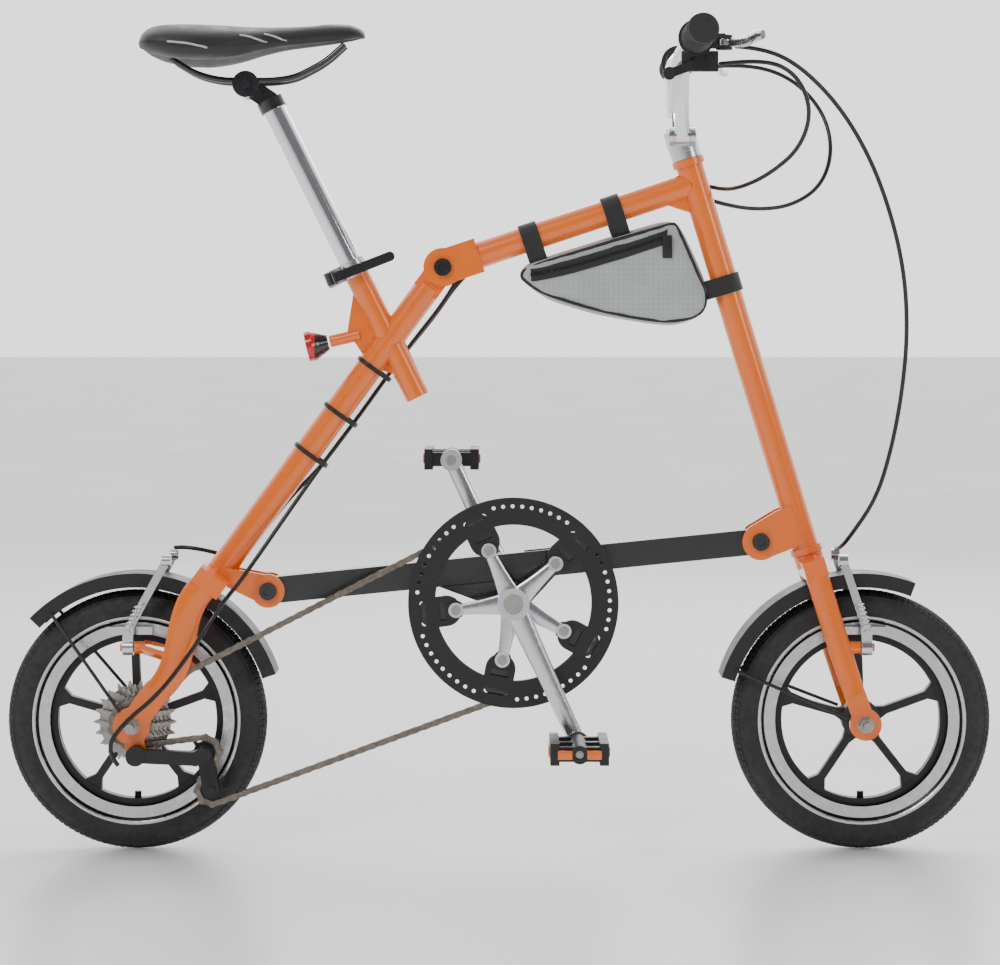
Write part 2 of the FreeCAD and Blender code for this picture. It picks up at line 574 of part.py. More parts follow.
def wheel_core(name, axle, hub_left, hub_right):
    """Hub, spokes and the ring that holds the rim, moulded in one piece."""
    body = doc.addObject("PartDesign::Body", name + "_body")
    half = "spoke_depth / 2"
    valve_hole = rod(name + "_valve_hole", polar(axle, 80, 270), polar(axle, 118, 270), 8.5)
    ring = draw(body, name + "_ring", "XZ_Plane",
                [("spoke_ring_od / 2 - 1", "-" + half), ("rim_inner_od / 2", "-" + half),
                 ("rim_inner_od / 2", half), ("spoke_ring_od / 2 - 1", half)])
    hub = draw(body, name + "_hub", "XZ_Plane",
               [("axle_od / 2 + running_gap", hub_right), ("hub_od / 2 - 7", hub_right),
                ("hub_od / 2 - 7", "-14"), ("hub_od / 2", "-11"), ("hub_od / 2", "11"),
                ("hub_od / 2 - 7", "14"), ("hub_od / 2 - 7", hub_left),
                ("axle_od / 2 + running_gap", hub_left)])
    for sketch in (ring, hub):
        turn = body.newObject("PartDesign::Revolution", sketch.Name + "_turn")
        turn.Profile = sketch
        turn.ReferenceAxis = (sketch, ["V_Axis"])
        turn.Angle = 360
        doc.recompute()
        if sketch is ring:
            spoke = draw(body, name + "_spoke", "XY_Plane",
                         [("hub_od / 2 - 5", "-spoke_width"), ("hub_od / 2 + 8", "-spoke_width / 2"),
                          ("spoke_ring_od / 2 - 12", "-spoke_width / 2"),
                          ("spoke_ring_od / 2 + 1", "-spoke_width - 4"),
                          ("spoke_ring_od / 2 + 1", "spoke_width + 4"),
                          ("spoke_ring_od / 2 - 12", "spoke_width / 2"),
                          ("hub_od / 2 + 8", "spoke_width / 2"), ("hub_od / 2 - 5", "spoke_width")])
            spoke.AttachmentOffset = Placement(Vector(0, 0, -size("spoke_depth / 2 - 1")), Rotation())
            pad = body.newObject("PartDesign::Pad", name + "_pad")
            pad.Profile = spoke
            pad.setExpression("Length", formula("spoke_depth - 2"))
            doc.recompute()
            pattern = body.newObject("PartDesign::PolarPattern", name + "_spokes")
            pattern.Originals = [pad]
            pattern.Axis = (spoke, ["N_Axis"])
            pattern.Angle = 360
            pattern.Occurrences = 5
            body.Tip = pattern
            doc.recompute()
        else:
            body.Tip = turn
    # The local X of the body points forward and its local Y down, so -20 lifts a spoke to 20.
    body.Placement = Placement(axle, Rotation(Z_DIR, Y_DIR).multiply(Rotation(Z_DIR, -20)))
    return cut(name + "_cut", body, valve_hole)


def fender(name, axle, low_angle, high_angle):
    """A mudguard: a channel-shaped sheet swept over the tyre between two angles."""
    top, half = "fender_od / 2", "fender_width / 2"
    inner = top + " - fender_sheet"
    low = top + " - fender_depth"
    outline = [(top, "-" + half), (top, half), (low, half), (low, half + " - fender_sheet"),
               (inner, half + " - fender_sheet"), (inner, "fender_sheet - " + half),
               (low, "fender_sheet - " + half), (low, "-" + half)]
    return turned(name, outline, axle, Y_DIR, high_angle - low_angle, -high_angle)


AXLE_END = 22


def axle_set(name, axle, spacing):
    """An axle with a nut and a washer outside each dropout and a cone nut inside it."""
    half = size(spacing) / 2
    outer = half + size("dropout_thickness")
    parts = [rod(name + "_bar", off(axle, -outer - AXLE_END), off(axle, outer + AXLE_END), "axle_od")]
    for side in (RIGHT, LEFT):
        nut = doc.addObject("Part::Prism", "%s_nut_%d" % (name, side + 1))
        nut.Polygon = 6
        nut.setExpression("Circumradius", formula("axle_nut_od / 2"))
        nut.Height = 9
        nut.Placement = Placement(off(axle, side * (outer + 1.5)), Rotation(Z_DIR, Y_DIR * side))
        parts.append(nut)
        parts.append(disc("%s_washer_%d" % (name, side + 1), off(axle, side * (outer + 0.75)),
                          "axle_nut_od + 2", 1.5))
        parts.append(disc("%s_spacer_%d" % (name, side + 1), off(axle, side * (half - 2)), 16, 4))
    return fuse(name + "_solid", *parts)


def stays(name, axle, spacing, angle, reach):
    """A pair of wire stays from the dropouts to the fender's skirts."""
    wires = []
    for side in (RIGHT, LEFT):
        foot = polar(axle, 21, angle, side * size("%s / 2 + dropout_thickness + 2" % spacing))
        top = polar(axle, reach, angle, side * size("fender_width / 2 + 2"))
        wires.append(rod("%s_%d" % (name, side + 1), foot, top, "stay_od"))
    return group(name, *wires)


for word, axle, hub_left, hub_right in (("rear", REAR_AXLE, 52, -24), ("front", FRONT_AXLE, 42, -42)):
    node(tyre(word + "_tyre_ring", axle), word + "_tyre")
    stem = rod(word + "_valve_stem", polar(axle, 83, 270), polar(axle, 112, 270), 7.7)
    node(group(word + "_rim_and_valve", rim(word + "_rim_ring", axle), stem), word + "_rim")
    node(wheel_core(word + "_core", axle, str(hub_left), str(hub_right)), word + "_wheel_spokes")
    node(axle_set(word + "_axle_set", axle, word + "_spacing"), word + "_axle")
node(group("rear_guard", fender("rear_mudguard", REAR_AXLE, 18.6, 135.8),
           stays("rear_stay_wires", REAR_AXLE, "rear_spacing", 128, 155)), "rear_fender")
node(group("front_guard", fender("front_mudguard", FRONT_AXLE, 69, 162.7),
           stays("front_stay_wires", FRONT_AXLE, "front_spacing", 158, 155)), "front_fender")

# ---------------------------------------------------------------- drive train


def pitch_diameter(teeth):
    return size("chain_pitch") / math.sin(math.pi / teeth)


def sprocket(name, centre, teeth, thickness, bore, y):
    """A toothed wheel; the teeth are a ring of points round the root circle."""
    pitch = pitch_diameter(teeth) / 2
    root, tip, half = pitch - 3.9, pitch + 2.2, math.pi / teeth
    corners = []
    for tooth in range(teeth):
        middle = 2 * math.pi * tooth / teeth
        for radius, share in ((root, -0.52), (tip, -0.14), (tip, 0.14), (root, 0.52)):
            angle = middle + share * half
            corners.append(Vector(radius * math.cos(angle), 0, radius * math.sin(angle)))
    corners.append(corners[0])
    face = Part.Face(Part.makePolygon(corners))
    solid = face.extrude(Vector(0, thickness, 0))
    hole = Part.makeCylinder(bore / 2, thickness + 2, Vector(0, -1, 0), Y_DIR)
    piece = doc.addObject("Part::Feature", name)
    piece.Shape = solid.cut(hole)
    piece.Placement = Placement(off(centre, y - thickness / 2), Rotation())
    return piece


LINE_Y = -size("chain_line")
CHAINRING_TEETH = int(size("chainring_teeth"))
WINDOW_REACH = size("window_reach")
ring_plate = sprocket("chainring_plate", CRANK, CHAINRING_TEETH, size("cog_thickness"),
                      2 * WINDOW_REACH, LINE_Y)
BOLT_ANGLES = [259 + 72 * step for step in range(5)]
ring_tabs, bolt_holes = [], []


def bolt_tab(word, step, angle, y, thickness):
    """The tab that reaches in from a ring to a chainring bolt."""
    name = "%s_tab_%d" % (word, step)
    spot = polar(CRANK, size("bolt_circle / 2"), angle, y)
    end = polar(CRANK, WINDOW_REACH + 3, angle, y)
    return fuse(name, disc(name + "_eye", spot, 20, thickness),
                bar(name + "_neck", spot, end, 20, thickness),
                bar(name + "_root", polar(CRANK, WINDOW_REACH - 12, angle, y), end, 34, thickness))


for step, angle in enumerate(BOLT_ANGLES):
    spot = polar(CRANK, size("bolt_circle / 2"), angle, LINE_Y)
    ring_tabs.append(bolt_tab("ring", step, angle, LINE_Y, "cog_thickness"))
    bolt_holes.append(disc("ring_hole_%d" % step, spot, 8.2, 40))
node(cut("chainring_cut", fuse("chainring_solid", ring_plate, *ring_tabs), *bolt_holes), "chainring")

GUARD_Y = LINE_Y - size("cog_thickness / 2 + 2.6 + guard_thickness / 2")
guard_disc = disc("guard_disc", off(CRANK, GUARD_Y), "guard_od", "guard_thickness")
guard_ring = cut("guard_ring", guard_disc, disc("guard_centre", off(CRANK, GUARD_Y),
                                                "window_reach * 2", 10))
guard_tabs, guard_tools = [], []
for step, angle in enumerate(BOLT_ANGLES):
    spot = polar(CRANK, size("bolt_circle / 2"), angle, GUARD_Y)
    guard_tools.append(disc("guard_hole_%d" % step, spot, 8.2, 10))
    guard_tabs.append(bolt_tab("guard", step, angle, GUARD_Y, "guard_thickness"))
    window = polar(CRANK, (size("bolt_circle / 2") + WINDOW_REACH) / 2 + 4, angle, GUARD_Y)
    guard_tools.append(block("guard_window_%d" % step, window, 20, 10, 7,
                             Rotation(Y_DIR, 90 - angle)))
node(cut("guard_cut", fuse("guard_solid", guard_ring, *guard_tabs), *guard_tools), "chainguard")

spacers = [cut("ring_spacer_%d" % step,
               disc("ring_spacer_disc_%d" % step,
                    polar(CRANK, size("bolt_circle / 2"), angle,
                          (LINE_Y - size("cog_thickness / 2") + GUARD_Y
                           + size("guard_thickness / 2")) / 2), 12, "2.6"),
               disc("ring_spacer_hole_%d" % step,
                    polar(CRANK, size("bolt_circle / 2"), angle, LINE_Y), 8.2, 40))
           for step, angle in enumerate(BOLT_ANGLES)]
SPIDER_Y = GUARD_Y - size("guard_thickness / 2") - 2.5
bolts = []
for step, angle in enumerate(BOLT_ANGLES):
    inner = polar(CRANK, size("bolt_circle / 2"), angle, LINE_Y + size("cog_thickness / 2"))
    outer = polar(CRANK, size("bolt_circle / 2"), angle, SPIDER_Y - 2.5)
    bolts.append(fuse("ring_bolt_%d" % step, rod("ring_bolt_shank_%d" % step, inner, outer, 8.2),
                      rod("ring_bolt_nut_%d" % step, inner, off(inner, 1.6), 12),
                      rod("ring_bolt_head_%d" % step, off(outer, -1.6), outer, 11)))
node(group("ring_bolt_group", *bolts, *spacers), "chainring_bolts")

NEAR_ANGLE, FAR_ANGLE = 295, 115
CRANK_ARM = "crank_offset + crank_thickness"


def crank_arm(word, side, angle):
    """A crank: a tapering arm between two bosses."""
    y = side * size("crank_offset + crank_thickness / 2")
    centre = off(CRANK, y)
    end = polar(CRANK, size("crank_length"), angle, y)
    along = (end - centre).normalize()
    arm = limb("crank_limb_" + word, [(centre + along * 10, 26, 11), (centre + along * 70, 22, 11),
                                      (end - along * 8, 19, 10)], along.cross(Y_DIR))
    return [arm, disc("crank_boss_" + word, centre, 34, "crank_thickness"),
            disc("crank_end_" + word, end, 25, "crank_thickness")], centre, end


right_parts, _, right_end = crank_arm("right", RIGHT, NEAR_ANGLE)
for step, angle in enumerate(BOLT_ANGLES):
    spot = polar(CRANK, size("bolt_circle / 2"), angle, SPIDER_Y)
    root = polar(CRANK, 12, angle, SPIDER_Y)
    arm = limb("spider_arm_%d" % step, [(root, 24, 5), (root * 0.5 + spot * 0.5, 16, 5),
                                        (spot, 12, 5)], (spot - root).cross(Y_DIR))
    pad = disc("spider_pad_%d" % step, spot, 17, 5)
    right_parts += [arm, pad]
hub_middle = (SPIDER_Y + 2.5 - size("crank_offset + crank_thickness")) / 2
hub_depth = size("crank_offset + crank_thickness") + SPIDER_Y + 2.5
right_parts.append(disc("spider_hub", off(CRANK, hub_middle), 36, str(hub_depth)))
spider_holes = [disc("spider_hole_%d" % step, polar(CRANK, size("bolt_circle / 2"), angle, SPIDER_Y),
                     8.2, 5.6) for step, angle in enumerate(BOLT_ANGLES)]
right_crank = cut("right_crank_cut", fuse("right_crank_solid", *right_parts), *spider_holes,
                  disc("right_crank_bore", off(CRANK, hub_middle), 13, 60),
                  disc("right_crank_eye", right_end, "pedal_axle_od + 3", 30))
node(right_crank, "crank_right")
left_parts, left_centre, left_end = crank_arm("left", LEFT, FAR_ANGLE)
node(cut("left_crank_cut", fuse("left_crank_solid", *left_parts),
         disc("left_crank_bore", left_centre, 13, 30),
         disc("left_crank_eye", left_end, "pedal_axle_od + 3", 30)), "crank_left")
spindle_parts = [rod("spindle_body", off(CRANK, SPIDER_Y + 2.5),
                     off(CRANK, size("crank_offset")), "spindle_od"),
                 rod("spindle_ends", off(CRANK, -size(CRANK_ARM)), off(CRANK, size(CRANK_ARM)), 13)]
for side in (RIGHT, LEFT):
    tip = side * size(CRANK_ARM)
    spindle_parts.append(rod("spindle_cap_%d" % (side + 1), off(CRANK, tip), off(CRANK, tip + side * 3),
                             22))
spindle = fuse("spindle_solid", *spindle_parts)


def pedal(word, side, end):
    """A pedal body with tread bars round a core, and its axle screwed into the crank."""
    inner = side * size("crank_offset + crank_thickness + 3")
    outer = inner + side * size("pedal_length")
    centre = Vector(end.x, (inner + outer) / 2, end.z)
    core = disc("pedal_core_" + word, centre, "pedal_height - 4", "pedal_length")
    parts = [core]
    for row in (-1, 1):
        parts.append(block("pedal_bar_%s_%d" % (word, row + 1),
                           centre + Vector(row * size("pedal_width / 2 - 5"), 0, 0), 10,
                           "pedal_length - 6", "pedal_height"))
    for step in (-1, 0, 1):
        parts.append(block("pedal_web_%s_%d" % (word, step + 1),
                           centre + Vector(0, step * size("pedal_length / 2 - 9"), 0),
                           "pedal_width - 4", 9, "pedal_height - 8"))
    bore = disc("pedal_bore_" + word, centre, "pedal_axle_od + running_gap * 2", "pedal_length + 4")
    body = cut("pedal_cut_" + word, fuse("pedal_solid_" + word, *parts), bore)
    start = Vector(end.x, side * size("crank_offset"), end.z)
    flange = Vector(end.x, side * size(CRANK_ARM), end.z)
    axle = fuse("pedal_axle_solid_" + word,
                rod("pedal_thread_" + word, start, flange, "pedal_axle_od + 3"),
                rod("pedal_flat_" + word, flange, off(flange, side * 2.5), 15),
                rod("pedal_shaft_" + word, flange, Vector(end.x, outer - side * 3, end.z),
                    "pedal_axle_od"))
    return body, axle


right_pedal, right_axle = pedal("right", RIGHT, right_end)
left_pedal, left_axle = pedal("left", LEFT, left_end)
node(right_pedal, "pedal_right")
node(left_pedal, "pedal_left")
node(group("crank_shafts", spindle, right_axle, left_axle), "crank_axles")

SMALL_TEETH = int(size("small_cog_teeth"))
cogs = []
for step in range(int(size("cog_count"))):
    cog_y = LINE_Y + step * size("cog_pitch")
    cogs.append(sprocket("cog_%d" % step, REAR_AXLE, SMALL_TEETH + 2 * step, size("cog_thickness"),
                         30, cog_y))
sleeve_depth = size("cog_pitch") * (size("cog_count") - 1) + size("cog_thickness")
sleeve_y = LINE_Y - size("cog_thickness") / 2 + sleeve_depth / 2
sleeve = cut("freewheel_sleeve_cut", disc("freewheel_sleeve", off(REAR_AXLE, sleeve_y), 31,
                                          str(sleeve_depth)),
             disc("freewheel_bore", off(REAR_AXLE, sleeve_y), "axle_od + running_gap * 2", 60))
node(fuse("freewheel_solid", *cogs, sleeve), "freewheel_cogs")

GUIDE, TENSION = at("guide_x", 0, "guide_z"), at("tension_x", 0, "tension_z")
PULLEY_TEETH = int(size("pulley_teeth"))
PULLEY_BORE = 5
for word, centre in (("guide", GUIDE), ("tension", TENSION)):
    node(sprocket(word + "_wheel", centre, PULLEY_TEETH, size("cog_thickness"),
                  PULLEY_BORE + 2 * size("running_gap"), LINE_Y), word + "_pulley")


def belt(circles, offset):
    """The closed run of a chain round circles of (centre, signed radius), moved outwards."""
    normals = []
    for (one, first), (two, second) in zip(circles, circles[1:] + circles[:1]):
        gap = two - one
        lean = math.acos((first - second) / gap.Length)
        normals.append(math.atan2(gap.z, gap.x) - lean)
    edges = []
    for index, (centre, radius) in enumerate(circles):
        into, out = normals[index - 1], normals[index]
        turn = (out - into) % (2 * math.pi)
        if radius < 0:
            turn -= 2 * math.pi
        reach = radius + offset
        spots = [centre + Vector(reach * math.cos(angle), 0, reach * math.sin(angle))
                 for angle in (into, into + turn / 2, into + turn)]
        edges.append(Part.Arc(*spots).toShape())
        follower, other = circles[(index + 1) % len(circles)]
        other += offset
        landing = follower + Vector(other * math.cos(out), 0, other * math.sin(out))
        edges.append(Part.LineSegment(spots[2], landing).toShape())
    return Part.Wire(edges)


CHAIN_RUN = [(CRANK, pitch_diameter(CHAINRING_TEETH) / 2), (REAR_AXLE, pitch_diameter(SMALL_TEETH) / 2),
             (GUIDE, -pitch_diameter(PULLEY_TEETH) / 2), (TENSION, pitch_diameter(PULLEY_TEETH) / 2)]
strips = []
for side in (RIGHT, LEFT):
    outer_face = Part.Face(belt(CHAIN_RUN, size("chain_height") / 2))
    inner_face = Part.Face(belt(CHAIN_RUN, -size("chain_height") / 2))
    y = LINE_Y + side * 2.2 + (0 if side == LEFT else -size("link_plate"))
    strip = outer_face.cut(inner_face).extrude(Vector(0, size("link_plate"), 0))
    strip.translate(Vector(0, y, 0))
    strips.append(strip)
chain = doc.addObject("Part::Feature", "chain_strips")
chain.Shape = Part.makeCompound(strips)
chain.Placement = Placement()
print("chain pitch line length %.0f" % belt(CHAIN_RUN, 0).Length)
node(chain, "chain")

CAGE_Y = {RIGHT: LINE_Y - 6, LEFT: LINE_Y + 5}
cage_parts = []
for side in (RIGHT, LEFT):
    y = CAGE_Y[side]
    cage_parts.append(cut("cage_plate_cut_%d" % (side + 1),
                          bar("cage_plate_%d" % (side + 1), off(GUIDE, y), off(TENSION, y), 18, 2),
                          disc("cage_hole_%d" % (side + 1), off(GUIDE, y), 6.1, 10)))
low, high = CAGE_Y[RIGHT] - 3, CAGE_Y[LEFT] + 1
cage_parts.append(rod("tension_bolt", off(TENSION, low), off(TENSION, high), PULLEY_BORE))
cage_parts.append(rod("tension_bolt_head", off(TENSION, low), off(TENSION, low + 2), 9))
node(group("cage_group", fuse("cage_solid", *cage_parts)), "derailleur_cage")

HANGER = off(REAR_AXLE + Vector(6, 0, -32), LEG_Y[RIGHT])
KNUCKLE = off(HANGER, -size("dropout_thickness") / 2 - 8)
UPPER_ARM = off(GUIDE + Vector(-8, 0, -4), LINE_Y - 15)
body_parts = [rod("hanger_bolt", off(HANGER, 3), off(KNUCKLE, -8), 10),
              disc("hanger_knuckle", KNUCKLE, 22, 15),
              bar("parallel_arms", KNUCKLE, Vector(UPPER_ARM.x, KNUCKLE.y, UPPER_ARM.z), 15, 13),
              rod("guide_knuckle", Vector(GUIDE.x, KNUCKLE.y + 6, GUIDE.z),
                  Vector(GUIDE.x, CAGE_Y[RIGHT] - 1.4, GUIDE.z), 18),
              rod("guide_bolt", Vector(GUIDE.x, KNUCKLE.y, GUIDE.z), off(GUIDE, high), PULLEY_BORE),
              bar("guide_arm", Vector(UPPER_ARM.x, KNUCKLE.y, UPPER_ARM.z),
                  Vector(GUIDE.x, KNUCKLE.y, GUIDE.z), 16, 13)]
node(fuse("derailleur_solid", *body_parts), "derailleur_body")


# ---------------------------------------------------------------- fork and handlebar
CROWN = HEAD_LOW + DOWN_HEAD * 23
STEM_TOP = HEAD_TOP - DOWN_HEAD * 40
fork_parts = [rod("steerer", STEM_TOP, CROWN, "steerer_od"),
              rod("crown_race", HEAD_LOW + DOWN_HEAD * 8.5, CROWN, "head_tube_od + 2"),
              block("crown_bridge", CROWN, "fork_half_width * 2 + blade_depth", 26, 21,
                    Rotation(X_DIR, DOWN_HEAD.cross(Y_DIR)).multiply(Rotation(Z_DIR, 90)))]
FRONT_BOSS = at("wheelbase / 2 + 8", 0, "axle_height + 86")
for side, word in ((RIGHT, "right"), (LEFT, "left")):
    y = side * size("fork_half_width")
    drop_y = side * size("front_spacing / 2 + dropout_thickness / 2")
    foot = FRONT_AXLE + Vector(-12, drop_y, 34)
    middle = off(along_x(HEAD_LOW, DOWN_HEAD, HEAD_LOW.x + 28), y + side * 2)
    fork_parts.append(limb("fork_blade_" + word,
                           [(off(CROWN - DOWN_HEAD * 10, y), size("blade_width"), size("blade_depth")),
                            (middle, size("blade_width"), size("blade_depth")),
                            (foot, size("blade_width - 2"), 10)]))
    fork_parts.append(bar("fork_tip_" + word, off(FRONT_AXLE, drop_y), foot, 24,
                          "dropout_thickness"))
    fork_parts.append(disc("fork_dropout_" + word, off(FRONT_AXLE, drop_y), 36,
                           "dropout_thickness"))
    boss_y = side * size("fork_half_width")
    fork_parts.append(rod("front_boss_root_" + word, off(FRONT_BOSS + Vector(-40, 0, 0), boss_y),
                          off(FRONT_BOSS + Vector(-13, 0, 0), boss_y), 14))
    fork_parts.append(rod("front_boss_" + word, off(FRONT_BOSS + Vector(-14, 0, 0), boss_y),
                          off(FRONT_BOSS + Vector(3, 0, 0), boss_y), "boss_od"))
fork_hole = disc("front_axle_hole", FRONT_AXLE, "axle_od", "front_spacing + 40")
node(cut("fork_cut", fuse("fork_solid", *fork_parts), fork_hole), "front_fork")

# Clamp on the steerer, with two pairs of ears for the folding bar arms.
BAR_ROOT_X, BAR_ROOT_Z = HEAD_TOP.x - 10, HEAD_TOP.z + 33
BAR_HINGE = {side: Vector(BAR_ROOT_X, side * 26, BAR_ROOT_Z) for side in (RIGHT, LEFT)}
clamp_parts = [rod("stem_nut", HEAD_TOP - DOWN_HEAD * 8.5, HEAD_TOP - DOWN_HEAD * 17,
                   "head_tube_od + 4"),
               rod("stem_clamp", HEAD_TOP - DOWN_HEAD * 17, HEAD_TOP - DOWN_HEAD * 43, 36)]
for side in (RIGHT, LEFT):
    for row in (-1, 1):
        ear_x = BAR_ROOT_X + row * 12
        ear = block("bar_ear_%d_%d" % (side + 1, row + 1),
                    Vector(ear_x, side * 18, BAR_ROOT_Z - 1), 6, 22, 20)
        clamp_parts.append(ear)
        clamp_parts.append(disc("bar_ear_round_%d_%d" % (side + 1, row + 1),
                                Vector(ear_x, side * 26, BAR_ROOT_Z), 20, 6, X_DIR))
clamp_tools = [rod("stem_clamp_bore", HEAD_TOP, STEM_TOP + DOWN_HEAD * -20, "steerer_od")]
for side in (RIGHT, LEFT):
    clamp_tools.append(disc("bar_room_%d" % (side + 1), BAR_HINGE[side], 25, 18, X_DIR))
    clamp_tools.append(disc("bar_pin_hole_%d" % (side + 1), BAR_HINGE[side], 8, 50, X_DIR))
clamp = cut("stem_clamp_cut", fuse("stem_clamp_solid", *clamp_parts), *clamp_tools)
bar_pins = [disc("bar_pin_%d" % (side + 1), BAR_HINGE[side], 8, 32, X_DIR) for side in (RIGHT, LEFT)]
node(group("stem_clamp_group", clamp, *bar_pins), "handlebar_clamp")

BAR_HIGH = size("bar_height")
BAR_END = size("bar_half_width")
BAR_FRONT = BAR_ROOT_X + 7


def bar_arm(word, side):
    """One bar arm: a knuckle, a rising leg and a straight end for the grip."""
    hinge = BAR_HINGE[side]
    route = [hinge, Vector(BAR_ROOT_X - 4, side * 38, BAR_HIGH - 64),
             Vector(BAR_ROOT_X - 5, side * 70, BAR_HIGH - 16), Vector(BAR_FRONT, side * 114, BAR_HIGH),
             Vector(BAR_FRONT, side * BAR_END, BAR_HIGH)]
    leg = cord("bar_leg_" + word, route, size("bar_od"))
    knuckle = disc("bar_knuckle_" + word, hinge, 20, 17, X_DIR)
    hole = disc("bar_knuckle_hole_" + word, hinge, "8 + running_gap * 2", 50, X_DIR)
    trim = []
    for row in (-1, 1):
        trim.append(disc("bar_trim_%s_%d" % (word, row + 1), hinge + Vector(row * 15, 0, 0), 60,
                         13, X_DIR))
    return cut("bar_arm_cut_" + word, fuse("bar_arm_solid_" + word, leg, knuckle), hole, *trim)


PERCH_Y = BAR_END - 140


def lever_pivot(side):
    return Vector(BAR_FRONT + 32, side * (PERCH_Y - 4), BAR_HIGH - 3)


def controls(word, side):
    """A grip with its flange and, beside it, the clamp that holds the brake lever."""
    end = Vector(BAR_FRONT, side * BAR_END, BAR_HIGH)
    start = end - Vector(0, side * size("grip_length"), 0)
    grip = cut("grip_cut_" + word,
               fuse("grip_solid_" + word, rod("grip_body_" + word, start, end + Vector(0, side * 3, 0),
                                              "grip_od"),
                    rod("grip_flange_" + word, start, start + Vector(0, side * 4, 0), "grip_od + 8")),
               rod("grip_bore_" + word, start - Vector(0, side * 5, 0), end, "bar_od"))
    middle = Vector(BAR_FRONT, side * PERCH_Y, BAR_HIGH)
    pivot = lever_pivot(side)
    perch_parts = [disc("perch_ring_" + word, middle, "bar_od + 9", 14),
                   block("perch_arm_" + word, (middle + pivot) * 0.5 + Vector(4, 0, 0), 26, 12, 16),
                   disc("perch_jaw_low_" + word, pivot - Vector(0, 0, 6), 18, 4, Z_DIR),
                   disc("perch_jaw_high_" + word, pivot + Vector(0, 0, 6), 18, 4, Z_DIR)]
    room = disc("perch_room_" + word, pivot, 22, 8, Z_DIR)
    perch = cut("perch_cut_" + word, fuse("perch_solid_" + word, *perch_parts), room,
                disc("perch_bore_" + word, middle, "bar_od", 30))
    pin = disc("perch_pin_" + word, pivot, 5, 16, Z_DIR)
    pieces = [grip, fuse("perch_and_pin_" + word, perch, pin)]
    if side == RIGHT:
        body = Vector(BAR_FRONT + 5, -(PERCH_Y + 0), BAR_HIGH - 24)
        pieces[1] = fuse("perch_and_shifter", pieces[1],
                         block("shifter_body", body, 40, 12, 22),
                         block("shifter_neck", body + Vector(-4, 0, 10), 16, 12, 10))
        pieces[1] = cut("shifter_trim", pieces[1],
                        disc("shifter_bore", middle, "bar_od", 30),
                        disc("shifter_pin_hole", SHIFT_PIVOT, 6, 40))
    return group("controls_" + word, *pieces)


SHIFT_PIVOT = Vector(BAR_FRONT + 5, -PERCH_Y, BAR_HIGH - 26)


def brake_lever(word, side):
    """A brake lever: a flat eye and a blade that runs outwards in front of the grip."""
    pivot = lever_pivot(side)
    blade = limb("lever_blade_" + word,
                 [(pivot + Vector(2, side * 3, 0), 10, 6), (pivot + Vector(20, side * 40, -2), 12, 6),
                  (pivot + Vector(24, side * 90, -2), 13, 6),
                  (pivot + Vector(32, side * 124, -2), 10, 6)], Z_DIR)
    eye = disc("lever_eye_" + word, pivot, 17, 7, Z_DIR)
    hole = disc("lever_hole_" + word, pivot, "5 + running_gap * 2", 30, Z_DIR)
    trim = []
    for row in (-1, 1):
        trim.append(disc("lever_trim_%s_%d" % (word, row + 1), pivot + Vector(0, 0, row * 10), 26,
                         13, Z_DIR))
    return cut("lever_cut_" + word, fuse("lever_solid_" + word, blade, eye), hole, *trim)


for side, word in ((RIGHT, "right"), (LEFT, "left")):
    node(bar_arm(word, side), "handlebar_" + word)
    node(controls(word, side), "grip_" + word)
    node(brake_lever(word, side), "brake_lever_" + word)
thumb = fuse("thumb_solid", disc("thumb_eye", SHIFT_PIVOT + Vector(0, -8.5, 0), 16, 4),
             bar("thumb_blade", SHIFT_PIVOT + Vector(0, -8.5, 0),
                 SHIFT_PIVOT + Vector(-34, -8.5, -12), 10, 4),
             disc("thumb_tip", SHIFT_PIVOT + Vector(-34, -11, -12), 14, 9),
             rod("thumb_pin", SHIFT_PIVOT + Vector(0, -9, 0), SHIFT_PIVOT + Vector(0, 4, 0), 5.9))
node(thumb, "shift_lever")

# ---------------------------------------------------------------- rim brakes
ARM_TOP = "arm_top_rise"


def brake_arm(word, boss, side, way, lean):
    """A rim brake arm with its pad. It stands to one side of its boss, way, and its top leans."""
    y = side * size("fork_half_width")
    centre = off(boss + Vector(way * 6, 0, 0), y)
    rise = size(ARM_TOP)
    eye = disc("arm_eye_" + word, centre, "boss_od + 9", "brake_arm_width", X_DIR)
    knee, tip = centre + Vector(0, 0, 20), centre + Vector(lean, -side, rise)
    low = bar("arm_low_" + word, centre, knee, "brake_arm_width", 11)
    high = bar("arm_high_" + word, knee, tip, 9, 8)
    top = disc("arm_top_" + word, tip, 14, 10, X_DIR)
    hole = disc("arm_hole_" + word, centre, "boss_od + running_gap * 2", 40, X_DIR)
    pad_face = size("band_width / 2 + pad_gap")
    pad_middle = Vector(centre.x, side * (pad_face + 5), boss.z + 17)
    pad = block("pad_rubber_" + word, pad_middle, "pad_length", 10, 9)
    stud_end = Vector(pad_middle.x, side * (pad_face + 9), pad_middle.z)
    stud = rod("pad_stud_" + word, stud_end, off(Vector(centre.x, 0, pad_middle.z), y + side * 8), 7)
    arm = fuse("arm_solid_" + word, eye, low, high, top, stud)
    return group("arm_group_" + word, cut("arm_cut_" + word, arm, hole),
                 cut("pad_cut_" + word, pad, rod("pad_hole_" + word, stud_end, off(stud_end, side * 9),
                                                 7)))


for side, word in ((RIGHT, "right"), (LEFT, "left")):
    node(brake_arm("front_" + word, FRONT_BOSS + Vector(-12, 0, 0), side, 1,
                   -size("front_arm_lean")),
         "brake_arm_front_" + word)
    node(brake_arm("rear_" + word, REAR_BOSS + Vector(-4, 0, 0), side, -1, size("rear_arm_lean")),
         "brake_arm_rear_" + word)

